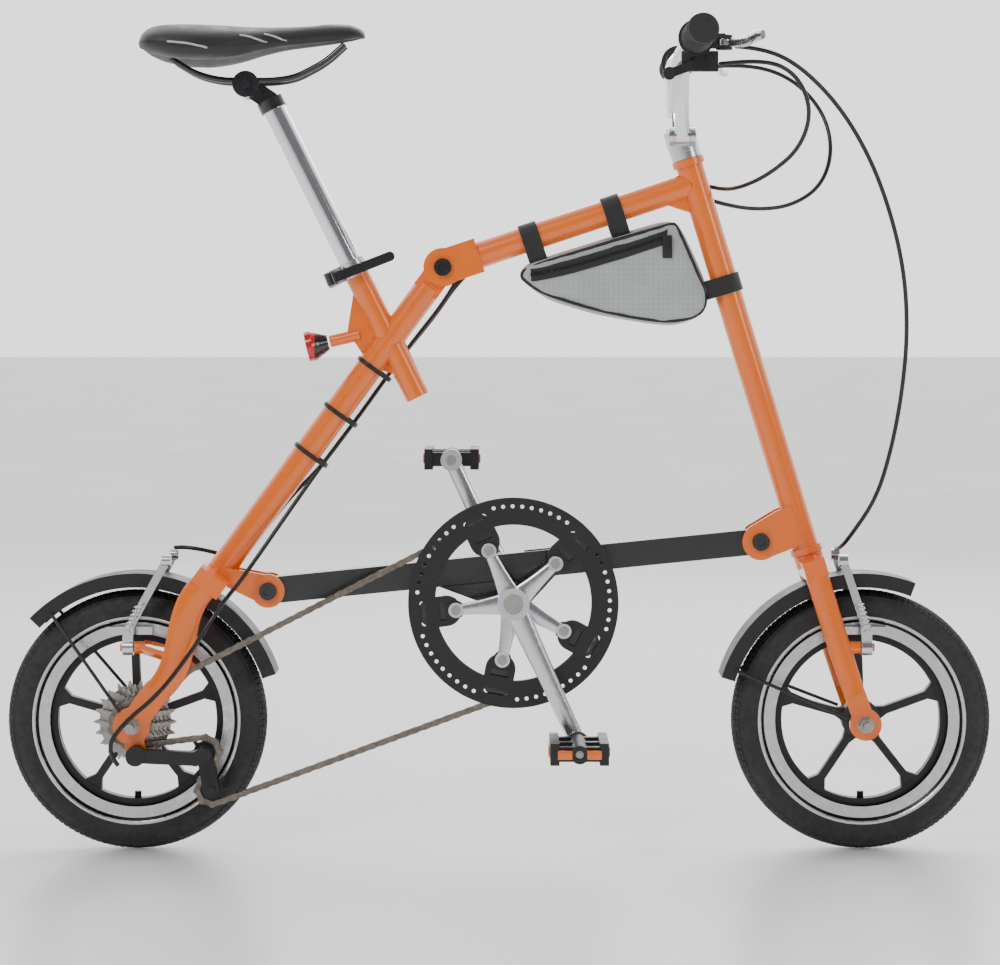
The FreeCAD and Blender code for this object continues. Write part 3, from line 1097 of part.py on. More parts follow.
# ---------------------------------------------------------------- seat
POST_CLAMP = along_x(SEAT_LOW, SEAT_LINE, size("clamp_x"))
POST_FOOT = POST_CLAMP - SEAT_LINE * size("post_length")
post = rod("post_tube", POST_FOOT, POST_CLAMP, "post_od")
node(cut("post_cut", post, rod("post_bore", POST_FOOT - SEAT_LINE, POST_CLAMP - SEAT_LINE * 12,
                               "post_od - tube_wall * 2")), "seatpost")

collar_parts = [rod("collar_ring", SEAT_TOP - SEAT_LINE * 16, SEAT_TOP + SEAT_LINE * 2,
                    "seat_tube_od + 7")]
ear_mid = SEAT_TOP - SEAT_LINE * 7 + SEAT_LINE.cross(Y_DIR) * 24
collar_parts.append(block("collar_ears", ear_mid, 20, 26, 18, Rotation(Z_DIR, SEAT_LINE)))
collar = cut("collar_cut", fuse("collar_solid", *collar_parts),
             rod("collar_bore", SEAT_TOP - SEAT_LINE * 30, SEAT_TOP + SEAT_LINE * 1, "seat_tube_od"),
             rod("collar_lip_bore", SEAT_TOP, SEAT_TOP + SEAT_LINE * 9, SEAT_BORE),
             block("collar_slit", ear_mid, 40, 2, 30, Rotation(Z_DIR, SEAT_LINE)))
SKEWER = ear_mid + SEAT_LINE.cross(Y_DIR) * 4
collar = cut("collar_skewer_hole", collar, disc("skewer_hole", SKEWER, 6, 60))
skewer = fuse("skewer_solid", rod("skewer_rod", off(SKEWER, 22), off(SKEWER, -15.6), 6),
              rod("skewer_nut", off(SKEWER, 22), off(SKEWER, 13), 15))
node(group("collar_group", collar, skewer), "seat_clamp")

# The release lever turns on a cross pin in its round cam, square to the skewer.
LEVER_Y = -22
LEVER_WAY = Vector(62, 0, 24).normalize()
lever_foot = off(SKEWER, LEVER_Y)
lever_end = lever_foot + LEVER_WAY * size("lever_length")
qr_lever = fuse("qr_solid", disc("qr_cam", lever_foot, 12, 14, LEVER_WAY.cross(Y_DIR)),
                bar("qr_blade", lever_foot + LEVER_WAY * 5, lever_end, 11, 5))
node(qr_lever, "seat_release_lever")
print("release lever pivot", lever_foot, "axis", Y_DIR.cross(LEVER_WAY))

CLAMP = at("clamp_x - 26", 0, "clamp_z + 6")
RAIL_Y = 22
clamp_body = cut("saddle_clamp_cut",
                 fuse("saddle_clamp_solid", rod("post_head", POST_CLAMP - SEAT_LINE * 11,
                                                POST_CLAMP + SEAT_LINE * 2, "post_od + 6"),
                      bar("setback_bar", POST_CLAMP, CLAMP, 22, 22),
                      disc("rail_jaws", CLAMP, 30, RAIL_Y * 2 + 14),
                      rod("clamp_bolt", off(CLAMP, -36), off(CLAMP, 36), 9)),
                 rod("clamp_post_bore", POST_FOOT, POST_CLAMP, "post_od"))
RAIL_Z = CLAMP.z + 4


def route_of_rail(side):
    """A saddle rail, from under the nose to under the back."""
    spots = [(112, 14, 42), (90, 16, 22), (56, 19, 4), (30, RAIL_Y, 0), (-30, RAIL_Y, 0.5),
             (-58, 27, 8), (-84, 38, 24)]
    return [Vector(CLAMP.x + x, side * y, RAIL_Z + z) for x, y, z in spots]


rails = [cord("rail_%d" % (side + 1), route_of_rail(side), size("rail_od"))
         for side in (RIGHT, LEFT)]
node(fuse("rails_and_clamp", clamp_body, *rails), "saddle_rails")

SADDLE_STATIONS = [(0, 150, 918, 44), (18, "saddle_width", 915, 54), (60, "saddle_width", 915, 52),
                   (100, "saddle_width - 40", 920, 42), (140, "saddle_width - 90", 925, 34),
                   (190, 52, 929, 28), (235, 42, 932, 24), ("saddle_length", 26, 933, 18)]
saddle_rear = size("clamp_x") - 148
wires = []
for reach, wide, mid_z, high in SADDLE_STATIONS:
    wires.append(oval(Vector(saddle_rear + size(reach), 0, mid_z), X_DIR, Z_DIR, high, size(wide)))
saddle = doc.addObject("Part::Feature", "saddle_shell")
saddle.Shape = Part.makeLoft(wires, True)
saddle.Placement = Placement()
rail_room = [cord("rail_room_%d" % (side + 1), route_of_rail(side), size("rail_od"))
             for side in (RIGHT, LEFT)]
node(cut("saddle_cut", saddle, *rail_room), "saddle")

# ---------------------------------------------------------------- lamp and bag
LAMP = at("seat_tube_top_x - 26", 0, "seat_tube_top_z - 90.5")
lamp_shell = doc.addObject("Part::Cone", "lamp_cone")
lamp_shell.Radius1, lamp_shell.Radius2, lamp_shell.Height = 9, 18, 18
lamp_shell.Placement = Placement(LAMP, Rotation(Z_DIR, Vector(-1, 0, -0.24)))
LAMP_WAY = Vector(-1, 0, -0.24).normalize()
lens = rod("lamp_lens", LAMP + LAMP_WAY * 18, LAMP + LAMP_WAY * 25, 35)
node(group("lamp_group", lamp_shell, lens), "tail_lamp")

BAG = [(17, 653), (24, 667), (196, 721), (206, 721), (243, 634), (241, 612), (226, 601), (190, 594),
       (116, 606), (48, 628), (26, 645)]
bag_corners = [("top_pivot_x + %g" % (x + 64.3), "top_pivot_z + %g" % (z - 664)) for x, z in BAG]
node(plate("bag_block", bag_corners, 52, 26), "frame_bag")

# ---------------------------------------------------------------- cables
CABLE = size("cable_od")
PERP = Vector(MAIN_LINE.z, 0, -MAIN_LINE.x)


def under_tube(reach, y, drop=22):
    """A point below the main tube, a given way down from the top pivot."""
    return TOP_PIVOT - MAIN_LINE * reach + PERP * drop + Vector(0, y, 0)


PERCH_FRONT = BAR_FRONT + 42
front_route = [Vector(PERCH_FRONT + 2, -PERCH_Y + 6, 905), Vector(292, -142, 903),
               Vector(332, -134, 884), Vector(376, -118, 842), Vector(412, -102, 786),
               Vector(438, -86, 722), Vector(455, -70, 655), Vector(460, -56, 587),
               Vector(455, -44, 519), Vector(444, -34, 455), Vector(428, -26, 400),
               Vector(400, -10, 356), Vector(391, 14, 341), Vector(389, 33, 339)]
node(cord("front_brake_cable_run", front_route, CABLE), "brake_cable_front")

TOP_SIDE = size("top_tube_od / 2") + 3.6


def beside_top_tube(reach, out, lift):
    """A point on the left of the top tube, a given way along it from the top pivot."""
    return TOP_PIVOT + TOP_LINE * reach + Vector(0, TOP_SIDE + out, lift)


END_A, END_B = beside_top_tube(282, 0, 3), beside_top_tube(278, 0, -6)
JOIN_A, JOIN_B = beside_top_tube(62, 3.5, 3), beside_top_tube(58, 3.5, -6)
loop_a = [Vector(BAR_FRONT + 26, -PERCH_Y, 885), Vector(286, -148, 891), Vector(325, -140, 878),
          Vector(346, -122, 838), Vector(336, -92, 796), Vector(304, -58, 768),
          Vector(276, -22, 755), Vector(258, 8, 753), Vector(236, 22, 759), END_A]
loop_b = [Vector(PERCH_FRONT + 2, PERCH_Y - 6, 905), Vector(300, 146, 908), Vector(350, 140, 890),
          Vector(385, 128, 850), Vector(394, 110, 803), Vector(378, 86, 760), Vector(340, 60, 736),
          Vector(297, 40, 731), Vector(258, 26, 737), Vector(228, 22, 747), END_B]
node(group("loop_pair", cord("loop_shift", loop_a, CABLE), cord("loop_brake", loop_b, CABLE)),
     "control_cables_bars")
top_runs = []
for word, start, end in (("a", END_A, JOIN_A), ("b", END_B, JOIN_B)):
    start, end = start - TOP_LINE * 2, end + TOP_LINE * 2
    middle = (start + end) * 0.5 + Vector(0, 1.5, 0)
    top_runs.append(cord("top_run_" + word, [start, middle, end], CABLE))
node(group("top_run_pair", *top_runs), "control_cables_top")
rear_a = [JOIN_A, TOP_PIVOT + Vector(28, 28, 10), TOP_PIVOT + Vector(4, 31, -36),
          under_tube(92, 25), under_tube(140, 22), under_tube(196, 8, 23), under_tube(256, 3),
          under_tube(316, -6, 23), Vector(-290, -36, 312), Vector(-314, -70, 282),
          Vector(-342, -82, 236), Vector(-380, -84, 186), Vector(-420, -86, 154),
          Vector(-440, -84, 124), Vector(-426, -80, 106)]
rear_b = [JOIN_B, TOP_PIVOT + Vector(20, 30, -12), TOP_PIVOT + Vector(-10, 34, -56),
          under_tube(106, 31), under_tube(158, 27), under_tube(214, 15, 23), under_tube(270, 12),
          under_tube(316, 21, 14), Vector(-298, 27, 326), Vector(-327, 24, 336),
          Vector(-351, 22, 341), Vector(-365, 24, 342), Vector(-374, 31, 341)]
node(group("rear_run_pair", cord("rear_run_shift", rear_a, CABLE),
           cord("rear_run_brake", rear_b, CABLE)), "control_cables_rear")


# ---------------------------------------------------------------- check and write
doc.recompute()
faults = []
for piece in doc.Objects:
    if "Invalid" in piece.State or "Error" in piece.State:
        faults.append("%s: %s" % (piece.Label, piece.State))
for piece in NODES:
    if piece.Shape.isNull() or not piece.Shape.isValid():
        faults.append("%s: bad shape" % piece.Label)
if faults:
    raise RuntimeError("; ".join(faults))
os.makedirs("parts", exist_ok=True)
for piece in NODES:
    piece.Shape.exportStep("parts/%s.step" % piece.Label)
print("%d sub-parts written" % len(NODES))
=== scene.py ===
# %% [markdown]
# # A folding bicycle with small moulded wheels
# The frame, wheels, drive and brakes come from the CAD model, at their real
# places. This lesson gives them their finishes and models what CAD leaves
# plain: the saddle, bag, tyres, chain, guard, cables and small trim.

# %% Load the frame
import json
import math

import bpy
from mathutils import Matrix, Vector

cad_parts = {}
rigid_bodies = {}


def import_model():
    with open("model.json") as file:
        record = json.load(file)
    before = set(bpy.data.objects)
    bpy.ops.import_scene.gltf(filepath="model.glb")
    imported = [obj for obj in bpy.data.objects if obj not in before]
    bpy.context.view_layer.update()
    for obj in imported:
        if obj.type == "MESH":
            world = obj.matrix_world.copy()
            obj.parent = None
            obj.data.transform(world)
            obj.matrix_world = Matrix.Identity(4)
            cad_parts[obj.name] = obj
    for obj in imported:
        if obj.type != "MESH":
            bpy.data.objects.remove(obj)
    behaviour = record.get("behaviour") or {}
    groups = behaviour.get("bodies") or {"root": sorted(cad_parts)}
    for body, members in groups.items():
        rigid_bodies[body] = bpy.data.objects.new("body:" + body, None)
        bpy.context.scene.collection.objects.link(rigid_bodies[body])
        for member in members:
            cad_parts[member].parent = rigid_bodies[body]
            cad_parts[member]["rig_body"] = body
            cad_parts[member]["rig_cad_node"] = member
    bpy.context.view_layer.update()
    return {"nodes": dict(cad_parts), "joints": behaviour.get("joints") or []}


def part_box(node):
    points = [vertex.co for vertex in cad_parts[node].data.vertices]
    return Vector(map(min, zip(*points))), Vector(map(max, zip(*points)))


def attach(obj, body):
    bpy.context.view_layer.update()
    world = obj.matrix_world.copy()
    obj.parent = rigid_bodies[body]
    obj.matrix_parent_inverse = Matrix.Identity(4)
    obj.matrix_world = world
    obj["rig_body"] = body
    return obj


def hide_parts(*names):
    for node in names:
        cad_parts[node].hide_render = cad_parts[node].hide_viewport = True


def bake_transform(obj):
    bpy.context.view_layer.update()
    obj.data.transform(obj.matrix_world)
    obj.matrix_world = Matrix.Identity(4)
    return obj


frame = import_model()
NODES = frame["nodes"]
RIGHT, LEFT = -1, 1
MM = 0.001
ACROSS = (math.radians(90), 0, 0)


def middle(node):
    """The middle of a CAD node's box."""
    low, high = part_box(node)
    return (low + high) / 2


REAR_AXLE, FRONT_AXLE = middle("rear_tyre"), middle("front_tyre")
CRANK = middle("chainguard")
print("axles", REAR_AXLE, FRONT_AXLE, "crank", CRANK)


# %% [markdown]
# ## Camera, floor and light
# A bicycle is shown best from its chain side, from a few metres away, so that
# both wheels look round. The lens is long, and the view is shifted down rather
# than tilted, which keeps the upright tubes upright.

# %% Camera and studio
def deselect():
    """Operators act on all that is selected, so each step starts from nothing."""
    bpy.ops.object.select_all(action="DESELECT")


def added(name):
    """Names the object that the last operator made, and hands it back."""
    piece = bpy.context.object
    piece.name = piece.data.name = name
    return piece


camera_data = bpy.data.cameras.new("camera")
camera_data.lens, camera_data.sensor_width, camera_data.shift_y = 110.1, 36.0, -0.1825
camera = bpy.data.objects.new("camera", camera_data)
bpy.context.scene.collection.objects.link(camera)
camera.location = (0.001, -3.5, 0.6266)
camera.rotation_euler = (math.radians(90), 0, 0)
bpy.context.scene.camera = camera

FLOOR_SIZE = 60
deselect()
bpy.ops.mesh.primitive_plane_add(size=FLOOR_SIZE, location=(0, 0, -0.0005))
floor = added("floor")


def area_light(name, place, target, size, power):
    """A soft square lamp that faces a point."""
    lamp = bpy.data.lights.new(name, "AREA")
    lamp.energy, lamp.size = power, size
    holder = bpy.data.objects.new(name, lamp)
    holder.location = place
    holder.rotation_euler = (Vector(target) - Vector(place)).to_track_quat("-Z", "Y").to_euler()
    bpy.context.scene.collection.objects.link(holder)


area_light("key_light", (-1.6, -2.6, 2.9), (0, 0, 0.4), 1.2, 62)
area_light("fill_light", (2.6, -2.0, 1.6), (0, 0, 0.5), 1.0, 16)
area_light("back_light", (0.6, 2.6, 2.4), (0, 0, 0.5), 2.0, 60)

# The wall behind the bicycle is white. The room behind the camera is dim, so
# polished metal shows dark bands between its highlights.
WALL, ROOM, SKY_STRENGTH = (1.0, 1.0, 1.0), (0.1, 0.1, 0.105), 1.9
world = bpy.data.worlds.new("studio")
world.use_nodes = True
sky = world.node_tree
where = sky.nodes.new("ShaderNodeTexCoord")
split = sky.nodes.new("ShaderNodeSeparateXYZ")
fade = sky.nodes.new("ShaderNodeMapRange")
shade = sky.nodes.new("ShaderNodeValToRGB")
fade.inputs["From Min"].default_value, fade.inputs["From Max"].default_value = -0.35, 0.45
shade.color_ramp.elements[0].color = (*ROOM, 1)
shade.color_ramp.elements[1].color = (*WALL, 1)
sky.links.new(where.outputs["Generated"], split.inputs["Vector"])
sky.links.new(split.outputs["Y"], fade.inputs["Value"])
sky.links.new(fade.outputs["Result"], shade.inputs["Fac"])
sky.links.new(shade.outputs["Color"], sky.nodes["Background"].inputs["Color"])
sky.nodes["Background"].inputs["Strength"].default_value = SKY_STRENGTH
bpy.context.scene.world = world


# %% [markdown]
# ## Finishes
# A finish is a shader with the small faults that real surfaces have. Each one
# starts from the Principled shader. Noise on Object coordinates then varies the
# colour a little, the roughness more, and the height by hundredths of a
# millimetre. Numbers that are the same all over stay on the shader's sockets.

# %% A small kit for finishes
def finish_of(name, colour, roughness, metallic=0.0, **sockets):
    """A material with a Principled shader and its fixed values."""
    material = bpy.data.materials.new(name)
    material.use_nodes = True
    shader = material.node_tree.nodes["Principled BSDF"]
    shader.inputs["Base Color"].default_value = (*colour, 1)
    shader.inputs["Roughness"].default_value = roughness
    shader.inputs["Metallic"].default_value = metallic
    for socket, value in sockets.items():
        shader.inputs[socket.replace("_", " ")].default_value = value
    return material


def add(material, kind, **settings):
    """A new node in a material's tree."""
    made = material.node_tree.nodes.new(kind)
    for key, value in settings.items():
        setattr(made, key, value)
    return made


def link(material, start, end):
    """Joins an output socket to an input socket."""
    material.node_tree.links.new(start, end)


def place_of(material, stretch=(1, 1, 1), centre=(0, 0, 0)):
    """Object coordinates, moved to a centre and stretched."""
    where = add(material, "ShaderNodeTexCoord")
    mapping = add(material, "ShaderNodeMapping", vector_type="POINT")
    mapping.inputs["Scale"].default_value = stretch
    mapping.inputs["Location"].default_value = [-c * s for c, s in zip(centre, stretch)]
    link(material, where.outputs["Object"], mapping.inputs["Vector"])
    return mapping.outputs["Vector"]


def noise(material, scale, detail=3, stretch=(1, 1, 1)):
    """A cloudy value from 0 to 1."""
    made = add(material, "ShaderNodeTexNoise")
    made.inputs["Scale"].default_value = scale
    made.inputs["Detail"].default_value = detail
    link(material, place_of(material, stretch), made.inputs["Vector"])
    return made.outputs["Fac"]


def spread(material, value, low, high, start=0.3, end=0.7):
    """Turns a cloudy value into one between low and high."""
    made = add(material, "ShaderNodeMapRange")
    made.inputs["From Min"].default_value = start
    made.inputs["From Max"].default_value = end
    made.inputs["To Min"].default_value = low
    made.inputs["To Max"].default_value = high
    link(material, value, made.inputs["Value"])
    return made.outputs["Result"]


def tint(material, value, dark, light):
    """A colour between two, chosen by a value."""
    ramp = add(material, "ShaderNodeValToRGB")
    ramp.color_ramp.elements[0].color = (*dark, 1)
    ramp.color_ramp.elements[1].color = (*light, 1)
    link(material, value, ramp.inputs["Fac"])
    return ramp.outputs["Color"]


def shader_of(material):
    """The material's Principled shader."""
    return material.node_tree.nodes["Principled BSDF"]


def rough(material, value):
    """Drives the roughness."""
    link(material, value, shader_of(material).inputs["Roughness"])


def coloured(material, value):
    """Drives the base colour."""
    link(material, value, shader_of(material).inputs["Base Color"])


def bumped(material, value, depth, strength=0.5, rounding=0.0):
    """Drives the height, in metres, and softens hard edges by a radius."""
    bump = add(material, "ShaderNodeBump")
    bump.inputs["Strength"].default_value = strength
    bump.inputs["Distance"].default_value = depth
    link(material, value, bump.inputs["Height"])
    if rounding:
        edge = add(material, "ShaderNodeBevel", samples=4)
        edge.inputs["Radius"].default_value = rounding
        link(material, edge.outputs["Normal"], bump.inputs["Normal"])
    link(material, bump.outputs["Normal"], shader_of(material).inputs["Normal"])


# %% [markdown]
# ## Enamel, alloy and steel
# The frame is orange enamel under a clear coat, with a slight ripple. Alloy
# parts are polished, steel is plated, and the lower bar is black enamel.

# %% Metal finishes
orange_enamel = finish_of("orange_enamel", (1.0, 0.18, 0.0), 0.32, Coat_Weight=0.7,
                          Coat_Roughness=0.06)
coloured(orange_enamel, tint(orange_enamel, noise(orange_enamel, 9, 4), (0.9, 0.145, 0.0),
                             (1.0, 0.2, 0.004)))
rough(orange_enamel, spread(orange_enamel, noise(orange_enamel, 60, 5), 0.26, 0.38))
bumped(orange_enamel, noise(orange_enamel, 700, 2), 0.00008, 0.25, rounding=0.0009)

black_enamel = finish_of("black_enamel", (0.012, 0.012, 0.014), 0.25, Coat_Weight=0.6,
                         Coat_Roughness=0.08)
rough(black_enamel, spread(black_enamel, noise(black_enamel, 50, 5), 0.2, 0.36))
bumped(black_enamel, noise(black_enamel, 700, 2), 0.00008, 0.25, rounding=0.0009)

polished_alloy = finish_of("polished_alloy", (0.74, 0.75, 0.77), 0.22, 1.0)
coloured(polished_alloy, tint(polished_alloy, noise(polished_alloy, 30, 5), (0.68, 0.69, 0.71),
                              (0.76, 0.77, 0.79)))
rough(polished_alloy, spread(polished_alloy, noise(polished_alloy, 140, 6), 0.2, 0.28))
bumped(polished_alloy, noise(polished_alloy, 900, 3), 0.00003, 0.12, rounding=0.0006)

chrome = finish_of("chrome", (0.84, 0.85, 0.87), 0.08, 1.0)
rough(chrome, spread(chrome, noise(chrome, 90, 6), 0.05, 0.14))
bumped(chrome, noise(chrome, 25, 2), 0.00006, 0.3, rounding=0.0005)

zinc_steel = finish_of("zinc_steel", (0.5, 0.49, 0.46), 0.35, 1.0)
coloured(zinc_steel, tint(zinc_steel, noise(zinc_steel, 80, 5), (0.34, 0.32, 0.28),
                          (0.58, 0.57, 0.54)))
rough(zinc_steel, spread(zinc_steel, noise(zinc_steel, 220, 6), 0.26, 0.5))
bumped(zinc_steel, noise(zinc_steel, 1200, 2), 0.00005, 0.3, rounding=0.0004)

oiled_steel = finish_of("oiled_steel", (0.2, 0.17, 0.13), 0.34, 1.0)
coloured(oiled_steel, tint(oiled_steel, noise(oiled_steel, 160, 5), (0.1, 0.075, 0.05),
                           (0.38, 0.34, 0.29)))
rough(oiled_steel, spread(oiled_steel, noise(oiled_steel, 300, 5), 0.24, 0.5))


# %% [markdown]
# ## Rims
# A moulded rim is turned on a lathe: a bright band for the brakes, a dark
# groove, and a black inner ring. The colour follows the distance from the axle,
# so the bands stay round however the wheel turns.

# %% Banded rim finish
def radius_from(material, axle):
    """Distance from the axle, in metres, across the wheel."""
    flat = place_of(material, (1, 0, 1), axle)
    length = add(material, "ShaderNodeVectorMath", operation="LENGTH")
    link(material, flat, length.inputs[0])
    return length.outputs["Value"]


RIM_BANDS = [(0.0, (0.012, 0.012, 0.013)), (98.4, (0.7, 0.71, 0.72)), (111.0, (0.03, 0.03, 0.03)),
             (114.3, (0.72, 0.73, 0.74))]
RIM_REACH = 125.0


def rim_finish(name, axle):
    """Machined alloy with painted bands, brushed round the axle."""
    material = finish_of(name, (0.7, 0.71, 0.72), 0.3, 1.0)
    radius = radius_from(material, axle)
    share = spread(material, radius, 0, 1, 0, RIM_REACH * MM)
    bands = add(material, "ShaderNodeValToRGB")
    bands.color_ramp.interpolation = "CONSTANT"
    steps = bands.color_ramp.elements
    steps[0].color = (*RIM_BANDS[0][1], 1)
    steps[1].position, steps[1].color = RIM_BANDS[1][0] / RIM_REACH, (*RIM_BANDS[1][1], 1)
    for start, colour in RIM_BANDS[2:]:
        steps.new(start / RIM_REACH).color = (*colour, 1)
    link(material, share, bands.inputs["Fac"])
    coloured(material, bands.outputs["Color"])
    rough(material, spread(material, noise(material, 120, 6), 0.2, 0.42))
    turned = add(material, "ShaderNodeMath", operation="SINE")
    scaled = add(material, "ShaderNodeMath", operation="MULTIPLY")
    scaled.inputs[1].default_value = 9000
    link(material, radius, scaled.inputs[0])
    link(material, scaled.outputs["Value"], turned.inputs[0])
    bumped(material, turned.outputs["Value"], 0.00002, 0.35, rounding=0.0005)
    return material


rear_rim_metal, front_rim_metal = (rim_finish("rear_rim_metal", REAR_AXLE),
                                   rim_finish("front_rim_metal", FRONT_AXLE))


# %% [markdown]
# ## Rubber, plastic, vinyl and cloth
# Dark materials differ by their gloss and their grain more than by colour.
# Rubber is dull and dusty, moulded plastic has a fine spark-eroded texture,
# vinyl has leather grain, and the bag is a plain weave of grey nylon.

# %% Soft and moulded finishes
tyre_rubber = finish_of("tyre_rubber", (0.022, 0.022, 0.023), 0.7)
coloured(tyre_rubber, tint(tyre_rubber, noise(tyre_rubber, 40, 5), (0.014, 0.014, 0.015),
                           (0.035, 0.034, 0.033)))
rough(tyre_rubber, spread(tyre_rubber, noise(tyre_rubber, 150, 6), 0.55, 0.82))
bumped(tyre_rubber, noise(tyre_rubber, 1500, 3), 0.0001, 0.35)

moulded_black = finish_of("moulded_black", (0.015, 0.015, 0.016), 0.42)
rough(moulded_black, spread(moulded_black, noise(moulded_black, 70, 5), 0.34, 0.52))
bumped(moulded_black, noise(moulded_black, 2200, 2), 0.00009, 0.3, rounding=0.0008)

soft_rubber = finish_of("soft_rubber", (0.02, 0.02, 0.021), 0.62)
rough(soft_rubber, spread(soft_rubber, noise(soft_rubber, 120, 5), 0.52, 0.74))
bumped(soft_rubber, noise(soft_rubber, 1800, 2), 0.0001, 0.4)

sleeve_black = finish_of("sleeve_black", (0.012, 0.012, 0.012), 0.28)
rough(sleeve_black, spread(sleeve_black, noise(sleeve_black, 90, 4), 0.22, 0.36))

vinyl = finish_of("vinyl", (0.016, 0.016, 0.018), 0.45, Sheen_Weight=0.1)
grain = add(vinyl, "ShaderNodeTexVoronoi", feature="DISTANCE_TO_EDGE")
grain.inputs["Scale"].default_value = 620
link(vinyl, place_of(vinyl), grain.inputs["Vector"])
rough(vinyl, spread(vinyl, noise(vinyl, 45, 5), 0.36, 0.56))
bumped(vinyl, spread(vinyl, grain.outputs["Distance"], 0, 1, 0, 0.25), 0.00018, 0.5)


def woven(name, colour, thread, roughness=0.75):
    """A plain weave of round threads, seen from the side of the bicycle, with painted shade
    between the threads.
    """
    material = finish_of(name, colour, roughness, Sheen_Weight=0.25, Sheen_Roughness=0.5)
    waves = []
    for axis in ("X", "Z"):
        wave = add(material, "ShaderNodeTexWave", bands_direction=axis)
        wave.inputs["Scale"].default_value = 0.05 / thread
        link(material, place_of(material, (1, 0.6, 1)), wave.inputs["Vector"])
        waves.append(wave.outputs["Fac"])
    cloth = add(material, "ShaderNodeMath", operation="MULTIPLY")
    link(material, waves[0], cloth.inputs[0])
    link(material, waves[1], cloth.inputs[1])
    # The colour is darker where the weave is low, between the threads: painted shade in the
    # valleys, with a random tone from the noise added.
    shade = add(material, "ShaderNodeMath", operation="ADD")
    link(material, spread(material, cloth.outputs["Value"], 0, 0.5, 0, 1), shade.inputs[0])
    link(material, spread(material, noise(material, 26, 4), 0, 0.5), shade.inputs[1])
    dark = [c * 0.72 for c in colour]
    coloured(material, tint(material, shade.outputs["Value"], dark, colour))
    bumped(material, cloth.outputs["Value"], 0.00025, 0.6)
    return material


bag_nylon = woven("bag_nylon", (0.5, 0.54, 0.53), 0.0009)
black_webbing = woven("black_webbing", (0.02, 0.02, 0.021), 0.0012)
reflector_amber = finish_of("reflector_amber", (0.9, 0.2, 0.02), 0.18, Coat_Weight=0.5)
facets = add(reflector_amber, "ShaderNodeTexVoronoi")
facets.inputs["Scale"].default_value = 420
link(reflector_amber, place_of(reflector_amber), facets.inputs["Vector"])
bumped(reflector_amber, facets.outputs["Distance"], 0.0004, 0.7)


# %% [markdown]
# The lamp is one CAD node with a black cone and a red lens. One finish covers
# both: it turns from black to red where the lens starts, along the lamp.

# %% Lamp finish
lamp_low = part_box("tail_lamp")[0]
LENS_DEPTH = 0.0085
lamp_finish = finish_of("lamp_finish", (0.6, 0.02, 0.02), 0.14, Coat_Weight=0.6)
across = add(lamp_finish, "ShaderNodeSeparateXYZ")
link(lamp_finish, place_of(lamp_finish, (1, 1, 1), (lamp_low.x + LENS_DEPTH * 1.6, 0, 0)),
     across.inputs["Vector"])
lens_share = spread(lamp_finish, across.outputs["X"], 1, 0, -0.0005, 0.0005)
coloured(lamp_finish, tint(lamp_finish, lens_share, (0.015, 0.015, 0.016), (0.62, 0.012, 0.016)))
ribs = add(lamp_finish, "ShaderNodeTexVoronoi")
ribs.inputs["Scale"].default_value = 260
link(lamp_finish, place_of(lamp_finish), ribs.inputs["Vector"])
bumped(lamp_finish, ribs.outputs["Distance"], 0.0005, 0.6)

floor_paint = finish_of("floor_paint", (0.9, 0.9, 0.9), 0.32)
rough(floor_paint, spread(floor_paint, noise(floor_paint, 2, 3), 0.28, 0.36))
floor.data.materials.append(floor_paint)


# %% [markdown]
# ## Dressing the CAD nodes
# A CAD node keeps its mesh. Only the material in its slot changes, so the
# pieces still fit each other to a tenth of a millimetre.

# %% Give each CAD node its finish
FINISHES = [
    (orange_enamel, ["rear_main_tube", "rear_fork_yoke", "rear_fork_right", "rear_fork_left",
                     "seat_tube", "top_tube", "head_tube", "front_fork"]),
    (black_enamel, ["lower_bar_rear", "lower_bar_front", "bottom_bracket", "seat_release_lever",
                    "chainring", "rear_pivot_pins", "front_pivot_pin", "saddle_rails"]),
    (polished_alloy, ["handlebar_clamp", "crank_right", "crank_left", "seat_clamp",
                      "brake_lever_right", "brake_lever_left", "brake_arm_front_right",
                      "brake_arm_front_left", "brake_arm_rear_right", "brake_arm_rear_left"]),
    (chrome, ["handlebar_left", "handlebar_right", "seatpost"]),
    (zinc_steel, ["rear_axle", "front_axle", "chainring_bolts", "crank_axles",
                  "freewheel_cogs"]),
    (rear_rim_metal, ["rear_rim"]),
    (front_rim_metal, ["front_rim"]),
    (moulded_black, ["rear_wheel_spokes", "front_wheel_spokes", "rear_fender", "front_fender",
                     "derailleur_body", "derailleur_cage", "guide_pulley", "tension_pulley",
                     "shift_lever", "pedal_right", "pedal_left"]),
    (soft_rubber, ["grip_right", "grip_left"]),
    (lamp_finish, ["tail_lamp"]),
]
for finish, names in FINISHES:
    for name in names:
        if NODES[name].material_slots:
            NODES[name].material_slots[0].material = finish
        else:
            NODES[name].data.materials.append(finish)
print("dressed", sum(len(names) for _, names in FINISHES), "nodes")

# %% [markdown]
# ## Tools for new pieces
# A new piece starts as a primitive, is shaped in edit mode, and ends with its
# place in its mesh. These helpers select, apply and dress, as a hand would.

# %% Helpers for modelling
def only(piece):
    """Selects one piece and makes it active."""
    deselect()
    piece.select_set(True)
    bpy.context.view_layer.objects.active = piece


def settle(piece):
    """Moves a piece's place into its mesh."""
    only(piece)
    bpy.ops.object.transform_apply(location=True, rotation=True, scale=True)


def softened(piece, angle=40):
    """Smooth shading, with edges kept where faces meet sharply."""
    only(piece)
    bpy.ops.object.shade_smooth_by_angle(angle=math.radians(angle))


def applied(piece, kind, **settings):
    """Adds a modifier with its settings and applies it."""
    modifier = piece.modifiers.new(kind.lower(), kind)
    for key, value in settings.items():
        setattr(modifier, key, value)
    only(piece)
    bpy.ops.object.modifier_apply(modifier=modifier.name)


